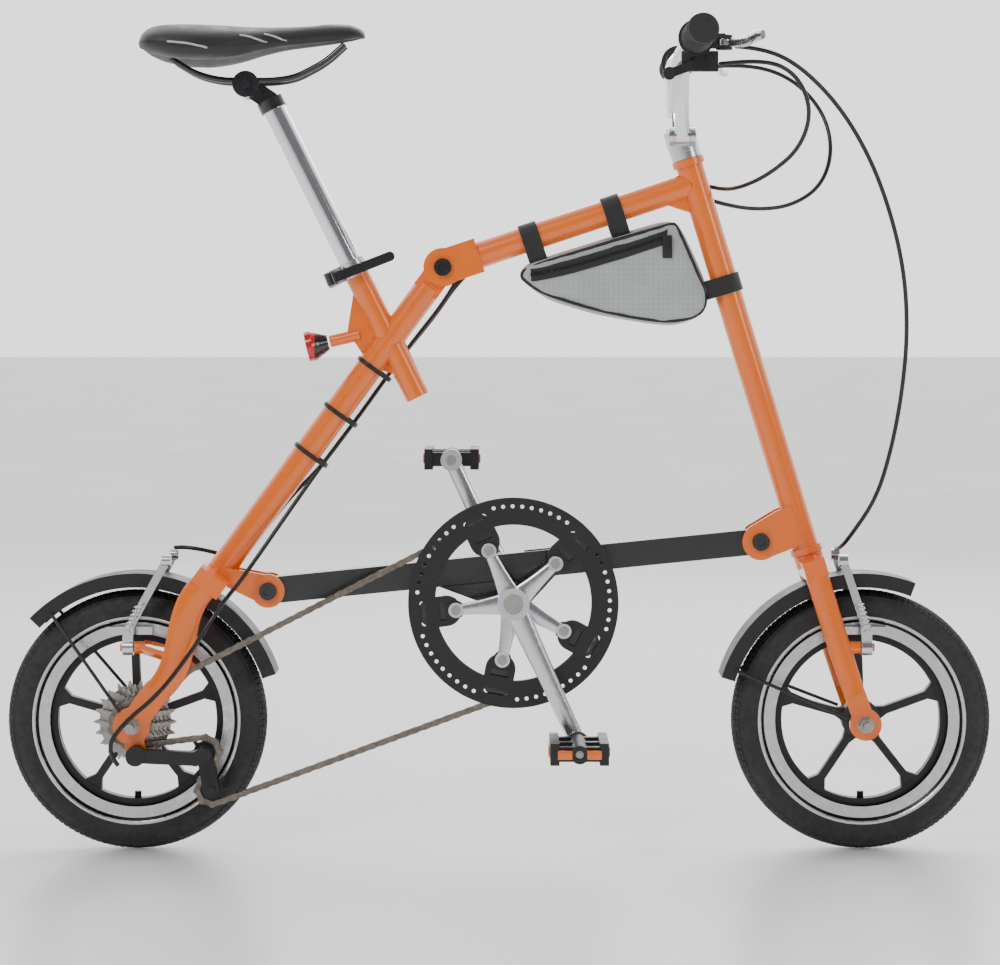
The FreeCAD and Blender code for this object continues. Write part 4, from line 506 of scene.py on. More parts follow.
def edited(piece, *steps):
    """Runs operators on a piece in edit mode."""
    only(piece)
    bpy.ops.object.mode_set(mode="EDIT")
    for step in steps:
        step()
    bpy.ops.object.mode_set(mode="OBJECT")


def pick_faces(piece, test):
    """Selects the faces that pass a test, ready for edit mode."""
    edited(piece, lambda: bpy.ops.mesh.select_all(action="DESELECT"))
    piece.data.polygons.foreach_set("select", [bool(test(f)) for f in piece.data.polygons])


def outward():
    """Turns all normals outwards."""
    bpy.ops.mesh.select_all(action="SELECT")
    bpy.ops.mesh.normals_make_consistent(inside=False)


def joined(name, pieces):
    """Joins pieces into one."""
    deselect()
    for piece in pieces:
        piece.select_set(True)
    bpy.context.view_layer.objects.active = pieces[0]
    bpy.ops.object.join()
    return added(name)


def copied(piece, name):
    """A copy with a mesh of its own."""
    twin = piece.copy()
    twin.data = piece.data.copy()
    twin.name = twin.data.name = name
    bpy.context.scene.collection.objects.link(twin)
    return twin


def dressed(piece, material, body):
    """Gives a finished piece its material, body and slot."""
    piece.data.materials.clear()
    piece.data.materials.append(material)
    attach(piece, body)
    return piece


def turn_to(way, up="Y"):
    """The rotation that lays a primitive's Z axis along a way."""
    return Vector(way).to_track_quat("Z", up).to_euler()


# %% [markdown]
# ## Tyres
# A small tyre is almost round in section, with short tread blocks on its crown
# and beads that sit inside the rim. A torus gives the casing. Each face on the
# crown is then inset and raised, which leaves grooves between the blocks.

# %% Tyres with tread blocks
CASING, TYRE_MIDDLE, TREAD_EDGE, BLOCK_RISE = 0.0208, 0.126, 0.0145, 0.0012
RIM_EDGE, BEAD_HALF, BEAD_FOOT = 0.1195, 0.0150, 0.110


def tyre(word, axle):
    """A tyre round an axle."""
    deselect()
    bpy.ops.mesh.primitive_torus_add(major_segments=132, minor_segments=30,
                                     major_radius=TYRE_MIDDLE, minor_radius=CASING,
                                     location=axle, rotation=ACROSS)
    piece = added(word + "_tyre_tread")
    settle(piece)
    pick_faces(piece, lambda f: (f.center - axle).length > TYRE_MIDDLE + 0.006
               and abs(f.center.y) < TREAD_EDGE)
    edited(piece, lambda: bpy.ops.mesh.inset(thickness=0.0007, depth=BLOCK_RISE,
                                             use_individual=True))
    for vertex in piece.data.vertices:
        arm = vertex.co - axle
        reach = math.hypot(arm.x, arm.z)
        if reach < RIM_EDGE:
            grow = max(reach, BEAD_FOOT) / reach
            vertex.co = axle + Vector((arm.x * grow, max(-BEAD_HALF, min(BEAD_HALF, arm.y)),
                                       arm.z * grow))
    softened(piece, 32)
    dressed(piece, tyre_rubber, word + "_wheel")
    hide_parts(word + "_tyre")
    print(piece.name, len(piece.data.polygons), "faces")


tyre("rear", REAR_AXLE)
tyre("front", FRONT_AXLE)

# %% [markdown]
# ## Saddle
# A saddle is foam under a stretched cover: wide and flat behind, narrow in
# front, and hollow below. It is drawn out from its back edge, one section at a
# time, and each section is scaled. Subdivision then gives the foam's softness.

# %% Saddle, drawn out section by section
SADDLE = [(-409, 56, 924, 910), (-400, 76, 937, 902), (-380, 85, 941, 893), (-347, 85, 941, 888),
          (-318, 76, 940, 890), (-290, 60, 938.5, 897), (-262, 43, 938.5, 907),
          (-230, 33, 940, 912), (-200, 27, 942, 915), (-175, 22, 942.5, 919),
          (-160, 17, 939, 923), (-153, 9, 933, 926)]
SQUARENESS = 2.7


def drawn_out(name, sections, sides):
    """A closed skin through sections of (place along X, half width, top, foot)."""
    along, half, top, foot = [v * MM for v in sections[0]]
    deselect()
    bpy.ops.mesh.primitive_circle_add(vertices=sides, radius=1, fill_type="NGON",
                                      location=(along, 0, (top + foot) / 2),
                                      rotation=(0, math.radians(90), 0))
    piece = added(name)
    piece.scale = ((top - foot) / 2, half, 1)
    settle(piece)
    only(piece)
    bpy.ops.object.mode_set(mode="EDIT")
    bpy.ops.mesh.select_all(action="SELECT")
    for one, two in zip(sections, sections[1:]):
        step = ((two[0] - one[0]) * MM, 0, (two[2] + two[3] - one[2] - one[3]) / 2 * MM)
        bpy.ops.mesh.extrude_region_move(TRANSFORM_OT_translate={"value": step})
        bpy.ops.transform.resize(value=(1, two[1] / one[1], (two[2] - two[3]) / (one[2] - one[3])),
                                 center_override=(two[0] * MM, 0, (two[2] + two[3]) / 2 * MM))
    bpy.ops.mesh.select_all(action="SELECT")
    bpy.ops.mesh.normals_make_consistent(inside=False)
    bpy.ops.object.mode_set(mode="OBJECT")
    return piece


def saddle_section(x):
    """The saddle's half width, top and foot at a place along X."""
    for one, two in zip(SADDLE, SADDLE[1:]):
        if one[0] * MM <= x + 1e-6 <= two[0] * MM + 2e-6:
            share = (x / MM - one[0]) / (two[0] - one[0])
            return [(a + (b - a) * share) * MM for a, b in zip(one[1:], two[1:])]
    return [v * MM for v in SADDLE[-1][1:]]


saddle = drawn_out("saddle_cover", SADDLE, 36)
for vertex in saddle.data.vertices:
    half, top, foot = saddle_section(vertex.co.x)
    centre, high = (top + foot) / 2, (top - foot) / 2
    u, v = vertex.co.y / half, (vertex.co.z - centre) / high
    swell = (abs(u) ** SQUARENESS + abs(v) ** SQUARENESS + 1e-9) ** (-1 / SQUARENESS)
    vertex.co.y, vertex.co.z = u * swell * half, centre + v * swell * high
    if v > 0:
        vertex.co.z -= 0.006 * abs(u) ** 2.2
applied(saddle, "SUBSURF", levels=2, render_levels=2)
CHANNEL_START, CHANNEL_END, CHANNEL_DEPTH, CHANNEL_HALF = -0.372, -0.205, 0.0055, 0.011
for vertex in saddle.data.vertices:
    along = (vertex.co.x - CHANNEL_START) / (CHANNEL_END - CHANNEL_START)
    if vertex.normal.z > 0.3 and 0 < along < 1:
        fall = math.exp(-(vertex.co.y / CHANNEL_HALF) ** 2) * math.sin(math.pi * along) ** 0.5
        vertex.co.z -= CHANNEL_DEPTH * fall
    if vertex.normal.z < -0.2:
        half, top, foot = saddle_section(vertex.co.x)
        vertex.co.z += 0.35 * (top - foot) * math.exp(-(vertex.co.y / (half * 0.62)) ** 4)
softened(saddle, 60)
dressed(saddle, vinyl, "seat_assembly")
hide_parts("saddle")
print("saddle", [round(v, 3) for v in saddle.dimensions])

# %% [markdown]
# The cover has short light stripes on each side, two near the middle and one on
# the rear skirt, and a dark welt closes the lower edge. Each line is laid on the
# skin by asking the mesh for its nearest point.

# %% Saddle stripes and welt
def tube_along(name, points, radius, cyclic=False):
    """A smooth round line through control points, as a mesh."""
    curve = bpy.data.curves.new(name, "CURVE")
    curve.dimensions, curve.bevel_depth, curve.resolution_u = "3D", radius, 8
    curve.bevel_resolution, curve.use_fill_caps = 3, not cyclic
    spline = curve.splines.new("NURBS")
    spline.points.add(len(points) - 1)
    for knot, point in zip(spline.points, points):
        knot.co = (*point, 1)
    spline.order_u = 3
    spline.use_cyclic_u, spline.use_endpoint_u = cyclic, not cyclic
    line = bpy.data.objects.new(name, curve)
    bpy.context.scene.collection.objects.link(line)
    only(line)
    bpy.ops.object.convert(target="MESH")
    piece = added(name)
    bpy.ops.object.shade_smooth()
    return piece


def on_skin(piece, point, lift):
    """The nearest point on a piece, lifted off its surface."""
    _, place, normal, _ = piece.closest_point_on_mesh(Vector(point))
    return place + normal * lift


STRIPES = [((-287, 936), (-258, 914)), ((-263, 936), (-239, 918)), ((-371, 924), (-323, 905))]
STRIPE_STEPS, STRIPE_RADIUS, WELT_STEPS, WELT_RADIUS = 9, 0.0012, 22, 0.0013
WELT_START, WELT_PITCH = -0.402, 0.0115
stripes, welts = [], []
for side in (RIGHT, LEFT):
    for (x_one, z_one), (x_two, z_two) in STRIPES:
        spots = []
        for step in range(STRIPE_STEPS):
            share = step / (STRIPE_STEPS - 1)
            x, z = (x_one + (x_two - x_one) * share) * MM, (z_one + (z_two - z_one) * share) * MM
            spots.append(on_skin(saddle, (x, side * 1.15 * saddle_section(x)[0], z), 0.0001))
        stripes.append(tube_along("stripe", spots, STRIPE_RADIUS))
    welt = []
    for step in range(WELT_STEPS):
        x = WELT_START + step * WELT_PITCH
        half, top, foot = saddle_section(x)
        welt.append(on_skin(saddle, (x, side * half * 1.2, foot + 0.3 * (top - foot)), -0.0004))
    welts.append(tube_along("welt", welt, WELT_RADIUS))
thread_grey = finish_of("thread_grey", (0.5, 0.5, 0.52), 0.6)
rough(thread_grey, spread(thread_grey, noise(thread_grey, 900, 2), 0.45, 0.8))
dressed(joined("saddle_welts", welts), soft_rubber, "seat_assembly")
dressed(joined("saddle_stripes", stripes), thread_grey, "seat_assembly")

# %% [markdown]
# ## Frame bag
# The bag is a flat pouch that fills the corner of the frame. A copy of the
# plain solid is remeshed into even faces and blown up gently as cloth, so that
# its panels bulge between the seams. Piping, the zip and the straps come after,
# because the remesh would swallow them.

# %% Bag body, filled as cloth
BAG_GRID, BAG_SWELL, BAG_SHRINK, CLOTH_STEPS = 0.006, 0.007, (0.965, 0.84, 0.94), 20
bag = copied(NODES["frame_bag"], "bag_body")
bag.parent = None
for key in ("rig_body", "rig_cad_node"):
    del bag[key]
edited(bag, lambda: bpy.ops.mesh.select_all(action="SELECT"),
       lambda: bpy.ops.mesh.remove_doubles(threshold=0.0001))
bag_low, bag_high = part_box("frame_bag")
bag_middle = (bag_low + bag_high) / 2
for vertex in bag.data.vertices:
    vertex.co = bag_middle + Vector(v * s for v, s in zip(vertex.co - bag_middle, BAG_SHRINK))
applied(bag, "BEVEL", width=0.006, segments=2, limit_method="ANGLE")
applied(bag, "REMESH", mode="VOXEL", voxel_size=BAG_GRID)
start = [v.co.copy() for v in bag.data.vertices]
cloth = bag.modifiers.new("cloth", "CLOTH")
cloth.settings.use_pressure = True
cloth.settings.uniform_pressure_force = 4
cloth.settings.effector_weights.gravity = 0
cloth.point_cache.frame_end = CLOTH_STEPS
for step in range(1, CLOTH_STEPS + 1):
    bpy.context.scene.frame_set(step)
only(bag)
bpy.ops.object.modifier_apply(modifier="cloth")
bpy.context.scene.frame_set(1)
for vertex, home in zip(bag.data.vertices, start):
    way = vertex.co - home
    if way.length > BAG_SWELL:
        vertex.co = home + way.normalized() * BAG_SWELL
applied(bag, "SMOOTH", factor=0.5, iterations=3)
applied(bag, "SUBSURF", levels=1, render_levels=1)
bpy.ops.object.shade_smooth()
dressed(bag, bag_nylon, "front_frame")
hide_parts("frame_bag")
print("bag", len(bag.data.polygons), "faces", [round(v, 3) for v in bag.dimensions])

# %% [markdown]
# Two welts of black piping run round the panels, and a black zip crosses the
# near panel under its top edge. The welts are laid on the swollen skin.

# %% Bag piping, zip and pull
BAG_EDGE = [(18, 653), (24, 666), (110, 692), (196, 719), (206, 719), (226, 676), (242, 634),
            (240, 613), (226, 602), (190, 596), (116, 608), (48, 629), (26, 645)]
piping = []
for side in (RIGHT, LEFT):
    spots = [on_skin(bag, (x * MM, side * 0.021, z * MM), 0.0006) for x, z in BAG_EDGE]
    piping.append(tube_along("piping", spots, 0.0019, cyclic=True))
dressed(joined("bag_piping", piping), soft_rubber, "front_frame")


def along_top(share, drop, y, lift):
    """A point on the near panel, a share along the zip and a drop below the top edge."""
    x, z = 26 + share * 172, 668 + share * 53 - drop
    return on_skin(bag, (x * MM, y, z * MM), lift)


def ribbon(name, spots, tops, thickness):
    """A flat band between two rows of points, made by filling and thickening."""
    mesh = bpy.data.meshes.new(name)
    count = len(spots)
    mesh.from_pydata(list(spots) + list(tops), [],
                     [(i, i + 1, count + i + 1, count + i) for i in range(count - 1)])
    piece = bpy.data.objects.new(name, mesh)
    bpy.context.scene.collection.objects.link(piece)
    edited(piece, outward)
    applied(piece, "SOLIDIFY", thickness=thickness, offset=0)
    softened(piece)
    return piece


ZIP_STEPS, ZIP_TEETH, TAPE_LOW, TAPE_HIGH, TAPE_THICKNESS = 22, 84, 27, 3, 0.0012
NEAR_SIDE, PANEL_LIFT, TEETH_DROP, TEETH_LIFT = -0.04, 0.0006, 15, 0.0014
shares = [0.03 + 0.93 * step / (ZIP_STEPS - 1) for step in range(ZIP_STEPS)]
tape = ribbon("zip_tape", [along_top(s, TAPE_LOW, NEAR_SIDE, PANEL_LIFT) for s in shares],
              [along_top(s, TAPE_HIGH, NEAR_SIDE, PANEL_LIFT) for s in shares], TAPE_THICKNESS)
dressed(tape, black_webbing, "front_frame")
teeth = []
deselect()
bpy.ops.mesh.primitive_cube_add(size=1, scale=(0.0011, 0.0016, 0.0032))
tooth = added("tooth")
settle(tooth)
applied(tooth, "BEVEL", width=0.0003, segments=1)
for step in range(ZIP_TEETH):
    twin = copied(tooth, "tooth_%d" % step)
    spot = along_top(0.04 + 0.91 * step / (ZIP_TEETH - 1), TEETH_DROP, NEAR_SIDE, TEETH_LIFT)
    for vertex in twin.data.vertices:
        vertex.co += spot
    teeth.append(twin)
bpy.data.objects.remove(tooth)
dressed(joined("zip_teeth", teeth), moulded_black, "front_frame")
deselect()
pull_top = along_top(0.95, TEETH_DROP, NEAR_SIDE, 0.003)
bpy.ops.mesh.primitive_cube_add(size=1, location=pull_top + Vector((0.002, -0.001, -0.013)),
                                scale=(0.011, 0.0035, 0.026))
pull = added("zip_pull")
settle(pull)
applied(pull, "BEVEL", width=0.0012, segments=3)
softened(pull)
dressed(pull, moulded_black, "front_frame")

# %% [markdown]
# ## Straps and cable ties
# A strap goes round a tube and down to what it holds. It starts as an open
# ring round the tube, and the half that faces the load is pulled down.

# %% Straps and ties
TOP_PIVOT = Vector(next(j["pos_m"] for j in frame["joints"] if j["name"] == "fold"))
HEAD_TOP, HEAD_LOW = Vector((0.2178, 0, 0.780)), Vector((0.3502, 0, 0.345))
REAR_PIVOT = Vector((-0.2632, 0, 0.295))
DOWN_HEAD = (HEAD_LOW - HEAD_TOP).normalized()
TOP_LINE = (HEAD_TOP + DOWN_HEAD * 0.021 - TOP_PIVOT).normalized()


def band(name, centre, along, load, inner, reach, width, thickness):
    """A flat loop round a tube, drawn out towards its load."""
    deselect()
    bpy.ops.mesh.primitive_cylinder_add(vertices=40, radius=inner, depth=width,
                                        end_fill_type="NOTHING", location=centre,
                                        rotation=turn_to(along))
    piece = added(name)
    settle(piece)
    for vertex in piece.data.vertices:
        if (vertex.co - centre).dot(load) > 0.001:
            vertex.co += load * reach
    edited(piece, outward)
    applied(piece, "SOLIDIFY", thickness=thickness, offset=1)
    applied(piece, "BEVEL", width=0.0004, segments=1, limit_method="ANGLE")
    softened(piece)
    return piece


UNDER_TOP = TOP_LINE.cross(Vector((0, 1, 0)))
if UNDER_TOP.z > 0:
    UNDER_TOP = -UNDER_TOP
BEHIND_HEAD = DOWN_HEAD.cross(Vector((0, 1, 0)))
if BEHIND_HEAD.x > 0:
    BEHIND_HEAD = -BEHIND_HEAD
STRAP_WIDTH, STRAP_THICKNESS = 0.021, 0.0018
TOP_STRAP_INNER, TOP_STRAP_DRAWN, TOP_STRAP_PLACES = 0.0158, 0.016, (0.106, 0.205)
HEAD_STRAP_INNER, HEAD_STRAP_DRAWN, HEAD_STRAP_PLACE = 0.0163, 0.014, 0.142
for number, reach in enumerate(TOP_STRAP_PLACES):
    strap = band("bag_strap_%d" % (number + 1), TOP_PIVOT + TOP_LINE * reach, TOP_LINE, UNDER_TOP,
                 TOP_STRAP_INNER, TOP_STRAP_DRAWN, STRAP_WIDTH, STRAP_THICKNESS)
    dressed(strap, black_webbing, "front_frame")
head_strap = band("bag_strap_3", HEAD_TOP + DOWN_HEAD * HEAD_STRAP_PLACE, DOWN_HEAD, BEHIND_HEAD,
                  HEAD_STRAP_INNER, HEAD_STRAP_DRAWN, STRAP_WIDTH, STRAP_THICKNESS)
dressed(head_strap, black_webbing, "front_frame")

# %% [markdown]
# ## Chain
# A roller chain is pairs of plates on rollers, wide pairs between narrow ones.
# One narrow link and one wide link are modelled, then copied along the belt
# line that runs round the chainring, the small cog and the two pulleys.

# %% The belt line of the chain
CHAIN_PITCH = 12.7 * MM
CHAIN_Y = -0.052


def pitch_radius(teeth):
    """The radius of the circle that a sprocket's chain pins follow."""
    return CHAIN_PITCH / math.sin(math.pi / teeth) / 2


def flat(point):
    """A point moved onto the chain's plane."""
    return Vector((point[0], CHAIN_Y, point[2]))


GUIDE = flat(next(j["pos_m"] for j in frame["joints"] if j["name"] == "guide_pulley_spin"))
TENSION = flat(next(j["pos_m"] for j in frame["joints"] if j["name"] == "tension_pulley_spin"))
BELT = [(flat(CRANK), pitch_radius(48)), (flat(REAR_AXLE), pitch_radius(12)),
        (GUIDE, -pitch_radius(8)), (TENSION, pitch_radius(8))]


def belt_points(circles, spacing):
    """Points evenly spaced along a belt round circles of signed radius."""
    tangents = []
    for (one, first), (two, second) in zip(circles, circles[1:] + circles[:1]):
        gap = two - one
        tangents.append(math.atan2(gap.z, gap.x) - math.acos((first - second) / gap.length))
    fine = []
    for index, (centre, radius) in enumerate(circles):
        into, out = tangents[index - 1], tangents[index]
        turn = (out - into) % (2 * math.pi) - (2 * math.pi if radius < 0 else 0)
        for step in range(61):
            angle = into + turn * step / 60
            fine.append(centre + Vector((math.cos(angle), 0, math.sin(angle))) * radius)
    fine.append(fine[0])
    total = sum((b - a).length for a, b in zip(fine, fine[1:]))
    count = 2 * round(total / spacing / 2)
    step, spots, walked = total / count, [], 0.0
    for a, b in zip(fine, fine[1:]):
        run = (b - a).length
        while len(spots) < count and walked + run >= step * len(spots) - 1e-12 and run > 0:
            spots.append(a.lerp(b, (step * len(spots) - walked) / run))
        walked += run
    return spots


pins = belt_points(BELT, CHAIN_PITCH)
print("chain", len(pins), "links")

# %% One link, copied along the line
PLATE_END, PLATE_THICK, PLATE_WAIST = 0.0041, 0.0011, 0.72
ROLLER, ROLLER_WIDTH, PIN_RADIUS, PIN_LENGTH = 0.0038, 0.0034, 0.0018, 0.0074


def link_master(name, half_width, with_roller):
    """A pair of plates from one pin to the next, with a roller on the first pin."""
    parts = []
    for side in (RIGHT, LEFT):
        deselect()
        bpy.ops.mesh.primitive_cylinder_add(vertices=12, radius=PLATE_END, depth=PLATE_THICK,
                                            location=(0, side * half_width, 0),
                                            rotation=ACROSS)
        plate = added("plate")
        settle(plate)
        for vertex in plate.data.vertices:
            if vertex.co.x > 0.0001:
                vertex.co.x += CHAIN_PITCH
            elif vertex.co.x > -0.0001:
                vertex.co.x += CHAIN_PITCH / 2
                vertex.co.z *= PLATE_WAIST
        parts.append(plate)
    deselect()
    bpy.ops.mesh.primitive_cylinder_add(vertices=10, radius=ROLLER if with_roller else PIN_RADIUS,
                                        depth=ROLLER_WIDTH if with_roller else PIN_LENGTH,
                                        rotation=ACROSS)
    parts.append(added("roller"))
    settle(parts[-1])
    return joined(name, parts)


masters = [link_master("link_narrow", 0.0017, True), link_master("link_wide", 0.0029, False)]
links = []
for index, pin in enumerate(pins):
    way = pins[(index + 1) % len(pins)] - pin
    twin = copied(masters[index % 2], "link_%d" % index)
    twin.location = pin
    twin.rotation_euler = (0, -math.atan2(way.z, way.x), 0)
    links.append(twin)
for master in masters:
    bpy.data.objects.remove(master)
chain = joined("chain_links", links)
settle(chain)
softened(chain, 35)
dressed(chain, oiled_steel, "rear_frame")
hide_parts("chain")

# %% [markdown]
# ## Chainguard
# The guard is a pressed black ring on five tabs. A long slot lies beyond each
# bolt, and a row of small round holes runs from one slot to the next. All the
# cutters are joined first, so the ring is cut once.

# %% Guard with its holes
guard = copied(NODES["chainguard"], "guard_disc")
guard.parent = None
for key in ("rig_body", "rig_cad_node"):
    del guard[key]
edited(guard, lambda: bpy.ops.mesh.select_all(action="SELECT"),
       lambda: bpy.ops.mesh.remove_doubles(threshold=0.00005))
BOLTS, FIRST_BOLT = 5, 43
SLOT_REACH, SLOT_HALF_WIDTH, SLOT_DRAWN = 102 * MM, 3 * MM, 11 * MM
HOLE_REACH, HOLE_RADIUS, HOLE_STEP, HOLES, FIRST_HOLE = 108.7 * MM, 2.3 * MM, 5.7, 9, 13.2


def guard_cutter(degrees, reach, radius, drawn):
    """A cutter across the disc, drawn out along the rim where drawn isn't 0."""
    deselect()
    bpy.ops.mesh.primitive_cylinder_add(vertices=14, radius=radius, depth=0.02,
                                        rotation=ACROSS)
    piece = added("cutter")
    settle(piece)
    for vertex in piece.data.vertices:
        vertex.co.z += math.copysign(drawn, vertex.co.z) if abs(vertex.co.z) > 0.0001 else 0
    angle = math.radians(degrees)
    piece.rotation_euler = (0, -angle, 0)
    piece.location = CRANK + Vector((math.cos(angle), 0, math.sin(angle))) * reach
    return piece


cutters = []
for bolt in range(BOLTS):
    start = FIRST_BOLT + 360 / BOLTS * bolt
    cutters.append(guard_cutter(start, SLOT_REACH, SLOT_HALF_WIDTH, SLOT_DRAWN))
    cutters += [guard_cutter(start + FIRST_HOLE + HOLE_STEP * hole, HOLE_REACH, HOLE_RADIUS, 0)
                for hole in range(HOLES)]
cutter = joined("cutters", cutters)
settle(cutter)
applied(guard, "BOOLEAN", object=cutter, operation="DIFFERENCE", solver="EXACT")
bpy.data.objects.remove(cutter)
softened(guard, 30)
dressed(guard, moulded_black, "crankset")
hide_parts("chainguard")
print("guard", len(guard.data.polygons), "faces")

# %% [markdown]
# ## Cables
# Each cable is one smooth curve through the same points as its CAD tube. A cable that crosses two
# joints is two pieces that meet at the middle of a run, where both have the same line.

# %% Cable routes
CABLE_RADIUS = 0.0025
MAIN_LINE = (TOP_PIVOT - (REAR_PIVOT + Vector((-0.066, 0, 0.008)))).normalized()
UNDER_MAIN = Vector((MAIN_LINE.z, 0, -MAIN_LINE.x))
BESIDE_TOP = 0.0186


def under_tube(reach, y, drop=22):
    """A point below the main tube, a way down from the top pivot, in millimetres."""
    return TOP_PIVOT - MAIN_LINE * reach * MM + UNDER_MAIN * drop * MM + Vector((0, y * MM, 0))


def beside_top_tube(reach, out, lift):
    """A point on the left of the top tube, a way along it from the top pivot."""
    return TOP_PIVOT + TOP_LINE * reach * MM + Vector((0, BESIDE_TOP + out * MM, lift * MM))


def spots_of(*points):
    """Points given in millimetres, as vectors in metres."""
    return [point if isinstance(point, Vector) else Vector(point) * MM for point in points]


FRONT_BRAKE_RUN = spots_of((258.8, -144, 905), (292, -142, 903), (332, -134, 884),
                           (376, -118, 842), (412, -102, 786), (438, -86, 722),
                           (455, -70, 655), (460, -56, 587), (455, -44, 519),
                           (444, -34, 455), (428, -26, 400), (400, -10, 356),
                           (391, 14, 341), (389, 33, 339))
END_A, END_B = beside_top_tube(282, 0, 3), beside_top_tube(278, 0, -6)
JOIN_A, JOIN_B = beside_top_tube(62, 3.5, 3), beside_top_tube(58, 3.5, -6)
LOOP_A = spots_of((240.8, -150, 885), (286, -148, 891), (325, -140, 878), (346, -122, 838),
                  (336, -92, 796), (304, -58, 768), (276, -22, 755), (258, 8, 753), (236, 22, 759),
                  END_A)
LOOP_B = spots_of((258.8, 144, 905), (300, 146, 908), (350, 140, 890), (385, 128, 850),
                  (394, 110, 803), (378, 86, 760), (340, 60, 736), (297, 40, 731), (258, 26, 737),
                  (228, 22, 747), END_B)
REAR_A = [END_A, (END_A + JOIN_A) / 2 + Vector((0, 0.0015, 0)), JOIN_A] + spots_of(
    TOP_PIVOT + Vector((0.028, 0.028, 0.010)), TOP_PIVOT + Vector((0.004, 0.031, -0.036)),
    under_tube(92, 25), under_tube(140, 22), under_tube(196, 8, 23), under_tube(256, 3),
    under_tube(316, -6, 23), (-290, -36, 312), (-314, -70, 282), (-342, -82, 236),
    (-380, -84, 186), (-420, -86, 154), (-440, -84, 124), (-426, -80, 106))
REAR_B = [END_B, (END_B + JOIN_B) / 2 + Vector((0, 0.0015, 0)), JOIN_B] + spots_of(
    TOP_PIVOT + Vector((0.020, 0.030, -0.012)), TOP_PIVOT + Vector((-0.010, 0.034, -0.056)),
    under_tube(106, 31), under_tube(158, 27), under_tube(214, 15, 23), under_tube(270, 12),
    under_tube(316, 21, 14), (-298, 27, 326), (-327, 24, 336), (-351, 22, 341), (-365, 24, 342),
    (-374, 31, 341))


# %% Cables, laid as smooth tubes
def cable(name, points, node):
    """A cable of black sleeve through points, which stands in for a CAD node that it hides."""
    piece = tube_along(name, points, CABLE_RADIUS)
    piece.data.materials.clear()
    piece.data.materials.append(sleeve_black)
    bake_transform(piece)
    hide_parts(node)
    return piece


cable("cable_front_brake", FRONT_BRAKE_RUN,
      "brake_cable_front")
for word, run, body, cut in (("shift", LOOP_A, "bar_right", 4), ("brake", LOOP_B, "bar_left", 5)):
    meet = (run[cut] + run[cut + 1]) / 2
    cable("loop_%s_bar" % word, run[:cut + 1] + [meet],
          "control_cables_bars")
    cable("loop_%s_frame" % word, [meet] + run[cut + 1:],
          "control_cables_bars")
for word, run in (("shift", REAR_A), ("brake", REAR_B)):
    cable("long_%s_cable" % word, run,
          "control_cables_top")
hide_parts("control_cables_rear")

TIE_PLACES, TIE_INNER, TIE_DRAWN = (140, 205, 262), 0.0162, 0.011
TIE_WIDTH, TIE_THICKNESS = 0.005, 0.0013
for number, reach in enumerate(TIE_PLACES):
    tie = band("cable_tie_%d" % (number + 1), under_tube(reach, 0, 0), MAIN_LINE, UNDER_MAIN,
               TIE_INNER, TIE_DRAWN, TIE_WIDTH, TIE_THICKNESS)
    dressed(tie, moulded_black, "rear_frame")

# %% [markdown]
# ## Grips, reflectors and brake springs
# Small things make the scale readable: ribs on the grips, amber reflectors on
# the pedals, and the coil springs that hold the brake arms open.

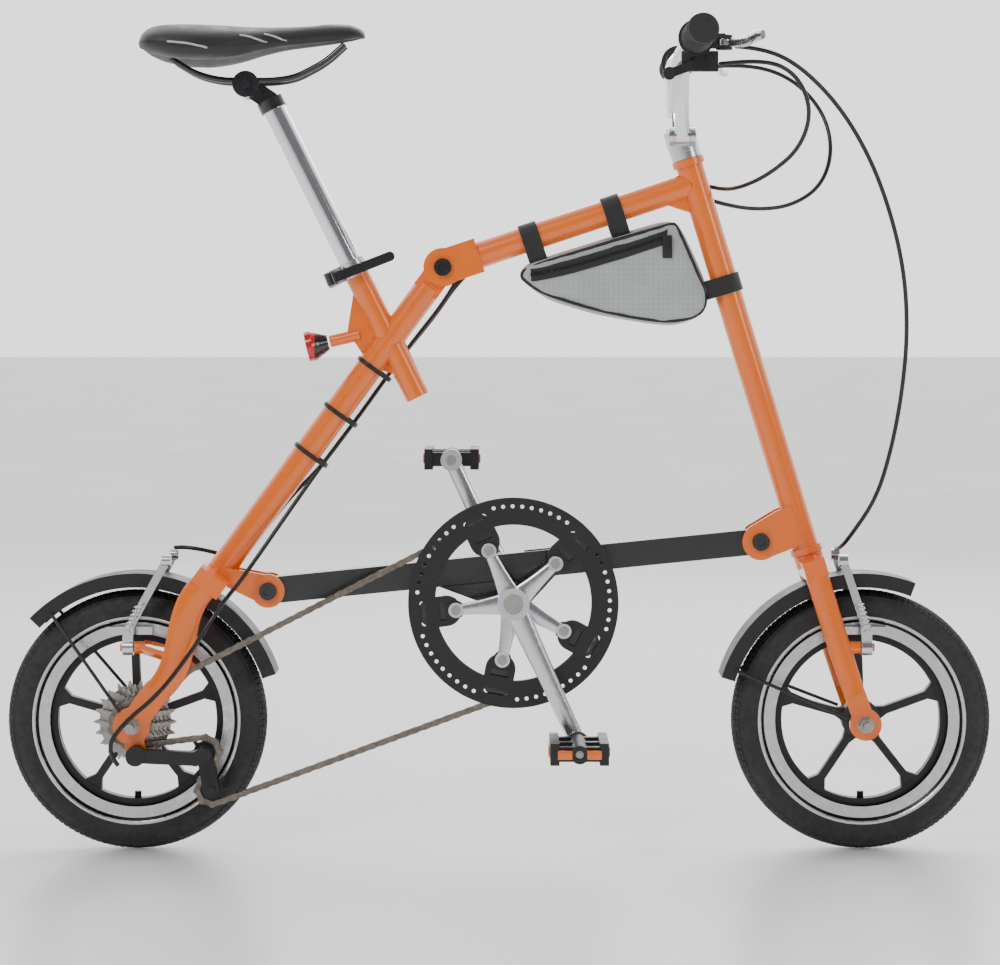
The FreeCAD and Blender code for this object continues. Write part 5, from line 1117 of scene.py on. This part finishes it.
# %% Grip ribs
BAR_LINE = Vector((0.2148, 0, 0.912))
RIB_COUNT, RIB_START, RIB_PITCH = 15, 0.182, 0.0072
RIB_REACH, RIB_RADIUS = 0.0158, 0.0013
for side, body in ((RIGHT, "bar_right"), (LEFT, "bar_left")):
    ribs_made = []
    for step in range(RIB_COUNT):
        deselect()
        along = Vector((0, side * (RIB_START + step * RIB_PITCH), 0))
        bpy.ops.mesh.primitive_torus_add(major_segments=36, minor_segments=8,
                                         major_radius=RIB_REACH, minor_radius=RIB_RADIUS,
                                         location=BAR_LINE + along, rotation=ACROSS)
        ribs_made.append(added("rib"))
    rib_set = joined("grip_ribs_" + body, ribs_made)
    settle(rib_set)
    softened(rib_set, 60)
    dressed(rib_set, soft_rubber, body)

# %% Pedal reflectors
END_PLATE, SIDE_PLATE, END_SPREAD, SIDE_SPREAD = ((0.016, 0.003, 0.010), (0.003, 0.044, 0.011),
                                                  0.016, 0.0325)
for word, side in (("right", RIGHT), ("left", LEFT)):
    low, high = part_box("pedal_" + word)
    centre, outer = (low + high) / 2, (low.y if side == RIGHT else high.y)
    plates = []
    for row in (-1, 1):
        deselect()
        bpy.ops.mesh.primitive_cube_add(size=1, scale=END_PLATE, location=(
            centre.x + row * END_SPREAD, outer - side * 0.0002, centre.z))
        plates.append(added("reflector"))
        deselect()
        bpy.ops.mesh.primitive_cube_add(size=1, scale=SIDE_PLATE, location=(
            centre.x + row * SIDE_SPREAD, centre.y, centre.z))
        plates.append(added("reflector"))
    reflectors = joined("pedal_reflectors_" + word, plates)
    settle(reflectors)
    applied(reflectors, "BEVEL", width=0.0008, segments=2)
    softened(reflectors)
    dressed(reflectors, reflector_amber, word + "_pedal")

# %% Brake springs
SPRING_TURNS, SPRING_RADIUS, SPRING_HIGH, TURN_STEPS = 6, 0.0048, 0.030, 10
KNEE_RISE, KNEE_OUT = 0.022, 0.009
LEAN = {"front": Vector((-0.29, 0, 0.957)), "rear": Vector((0.447, 0, 0.894))}
for joint in frame["joints"]:
    if not joint["name"].endswith("_close"):
        continue
    word, _, hand, _ = joint["name"].split("_")
    side = RIGHT if hand == "right" else LEFT
    foot = Vector(joint["pos_m"]) + Vector((0, side * KNEE_OUT, KNEE_RISE))
    coil = []
    for step in range(SPRING_TURNS * TURN_STEPS + 1):
        angle = 2 * math.pi * step / TURN_STEPS
        coil.append(foot + LEAN[word] * SPRING_HIGH * step / (SPRING_TURNS * TURN_STEPS)
                    + Vector((math.cos(angle), math.sin(angle), 0)) * SPRING_RADIUS)
    spring = tube_along("spring_%s_%s" % (word, hand), coil, 0.0009)
    dressed(spring, chrome, "%s_brake_%s" % (word, hand))
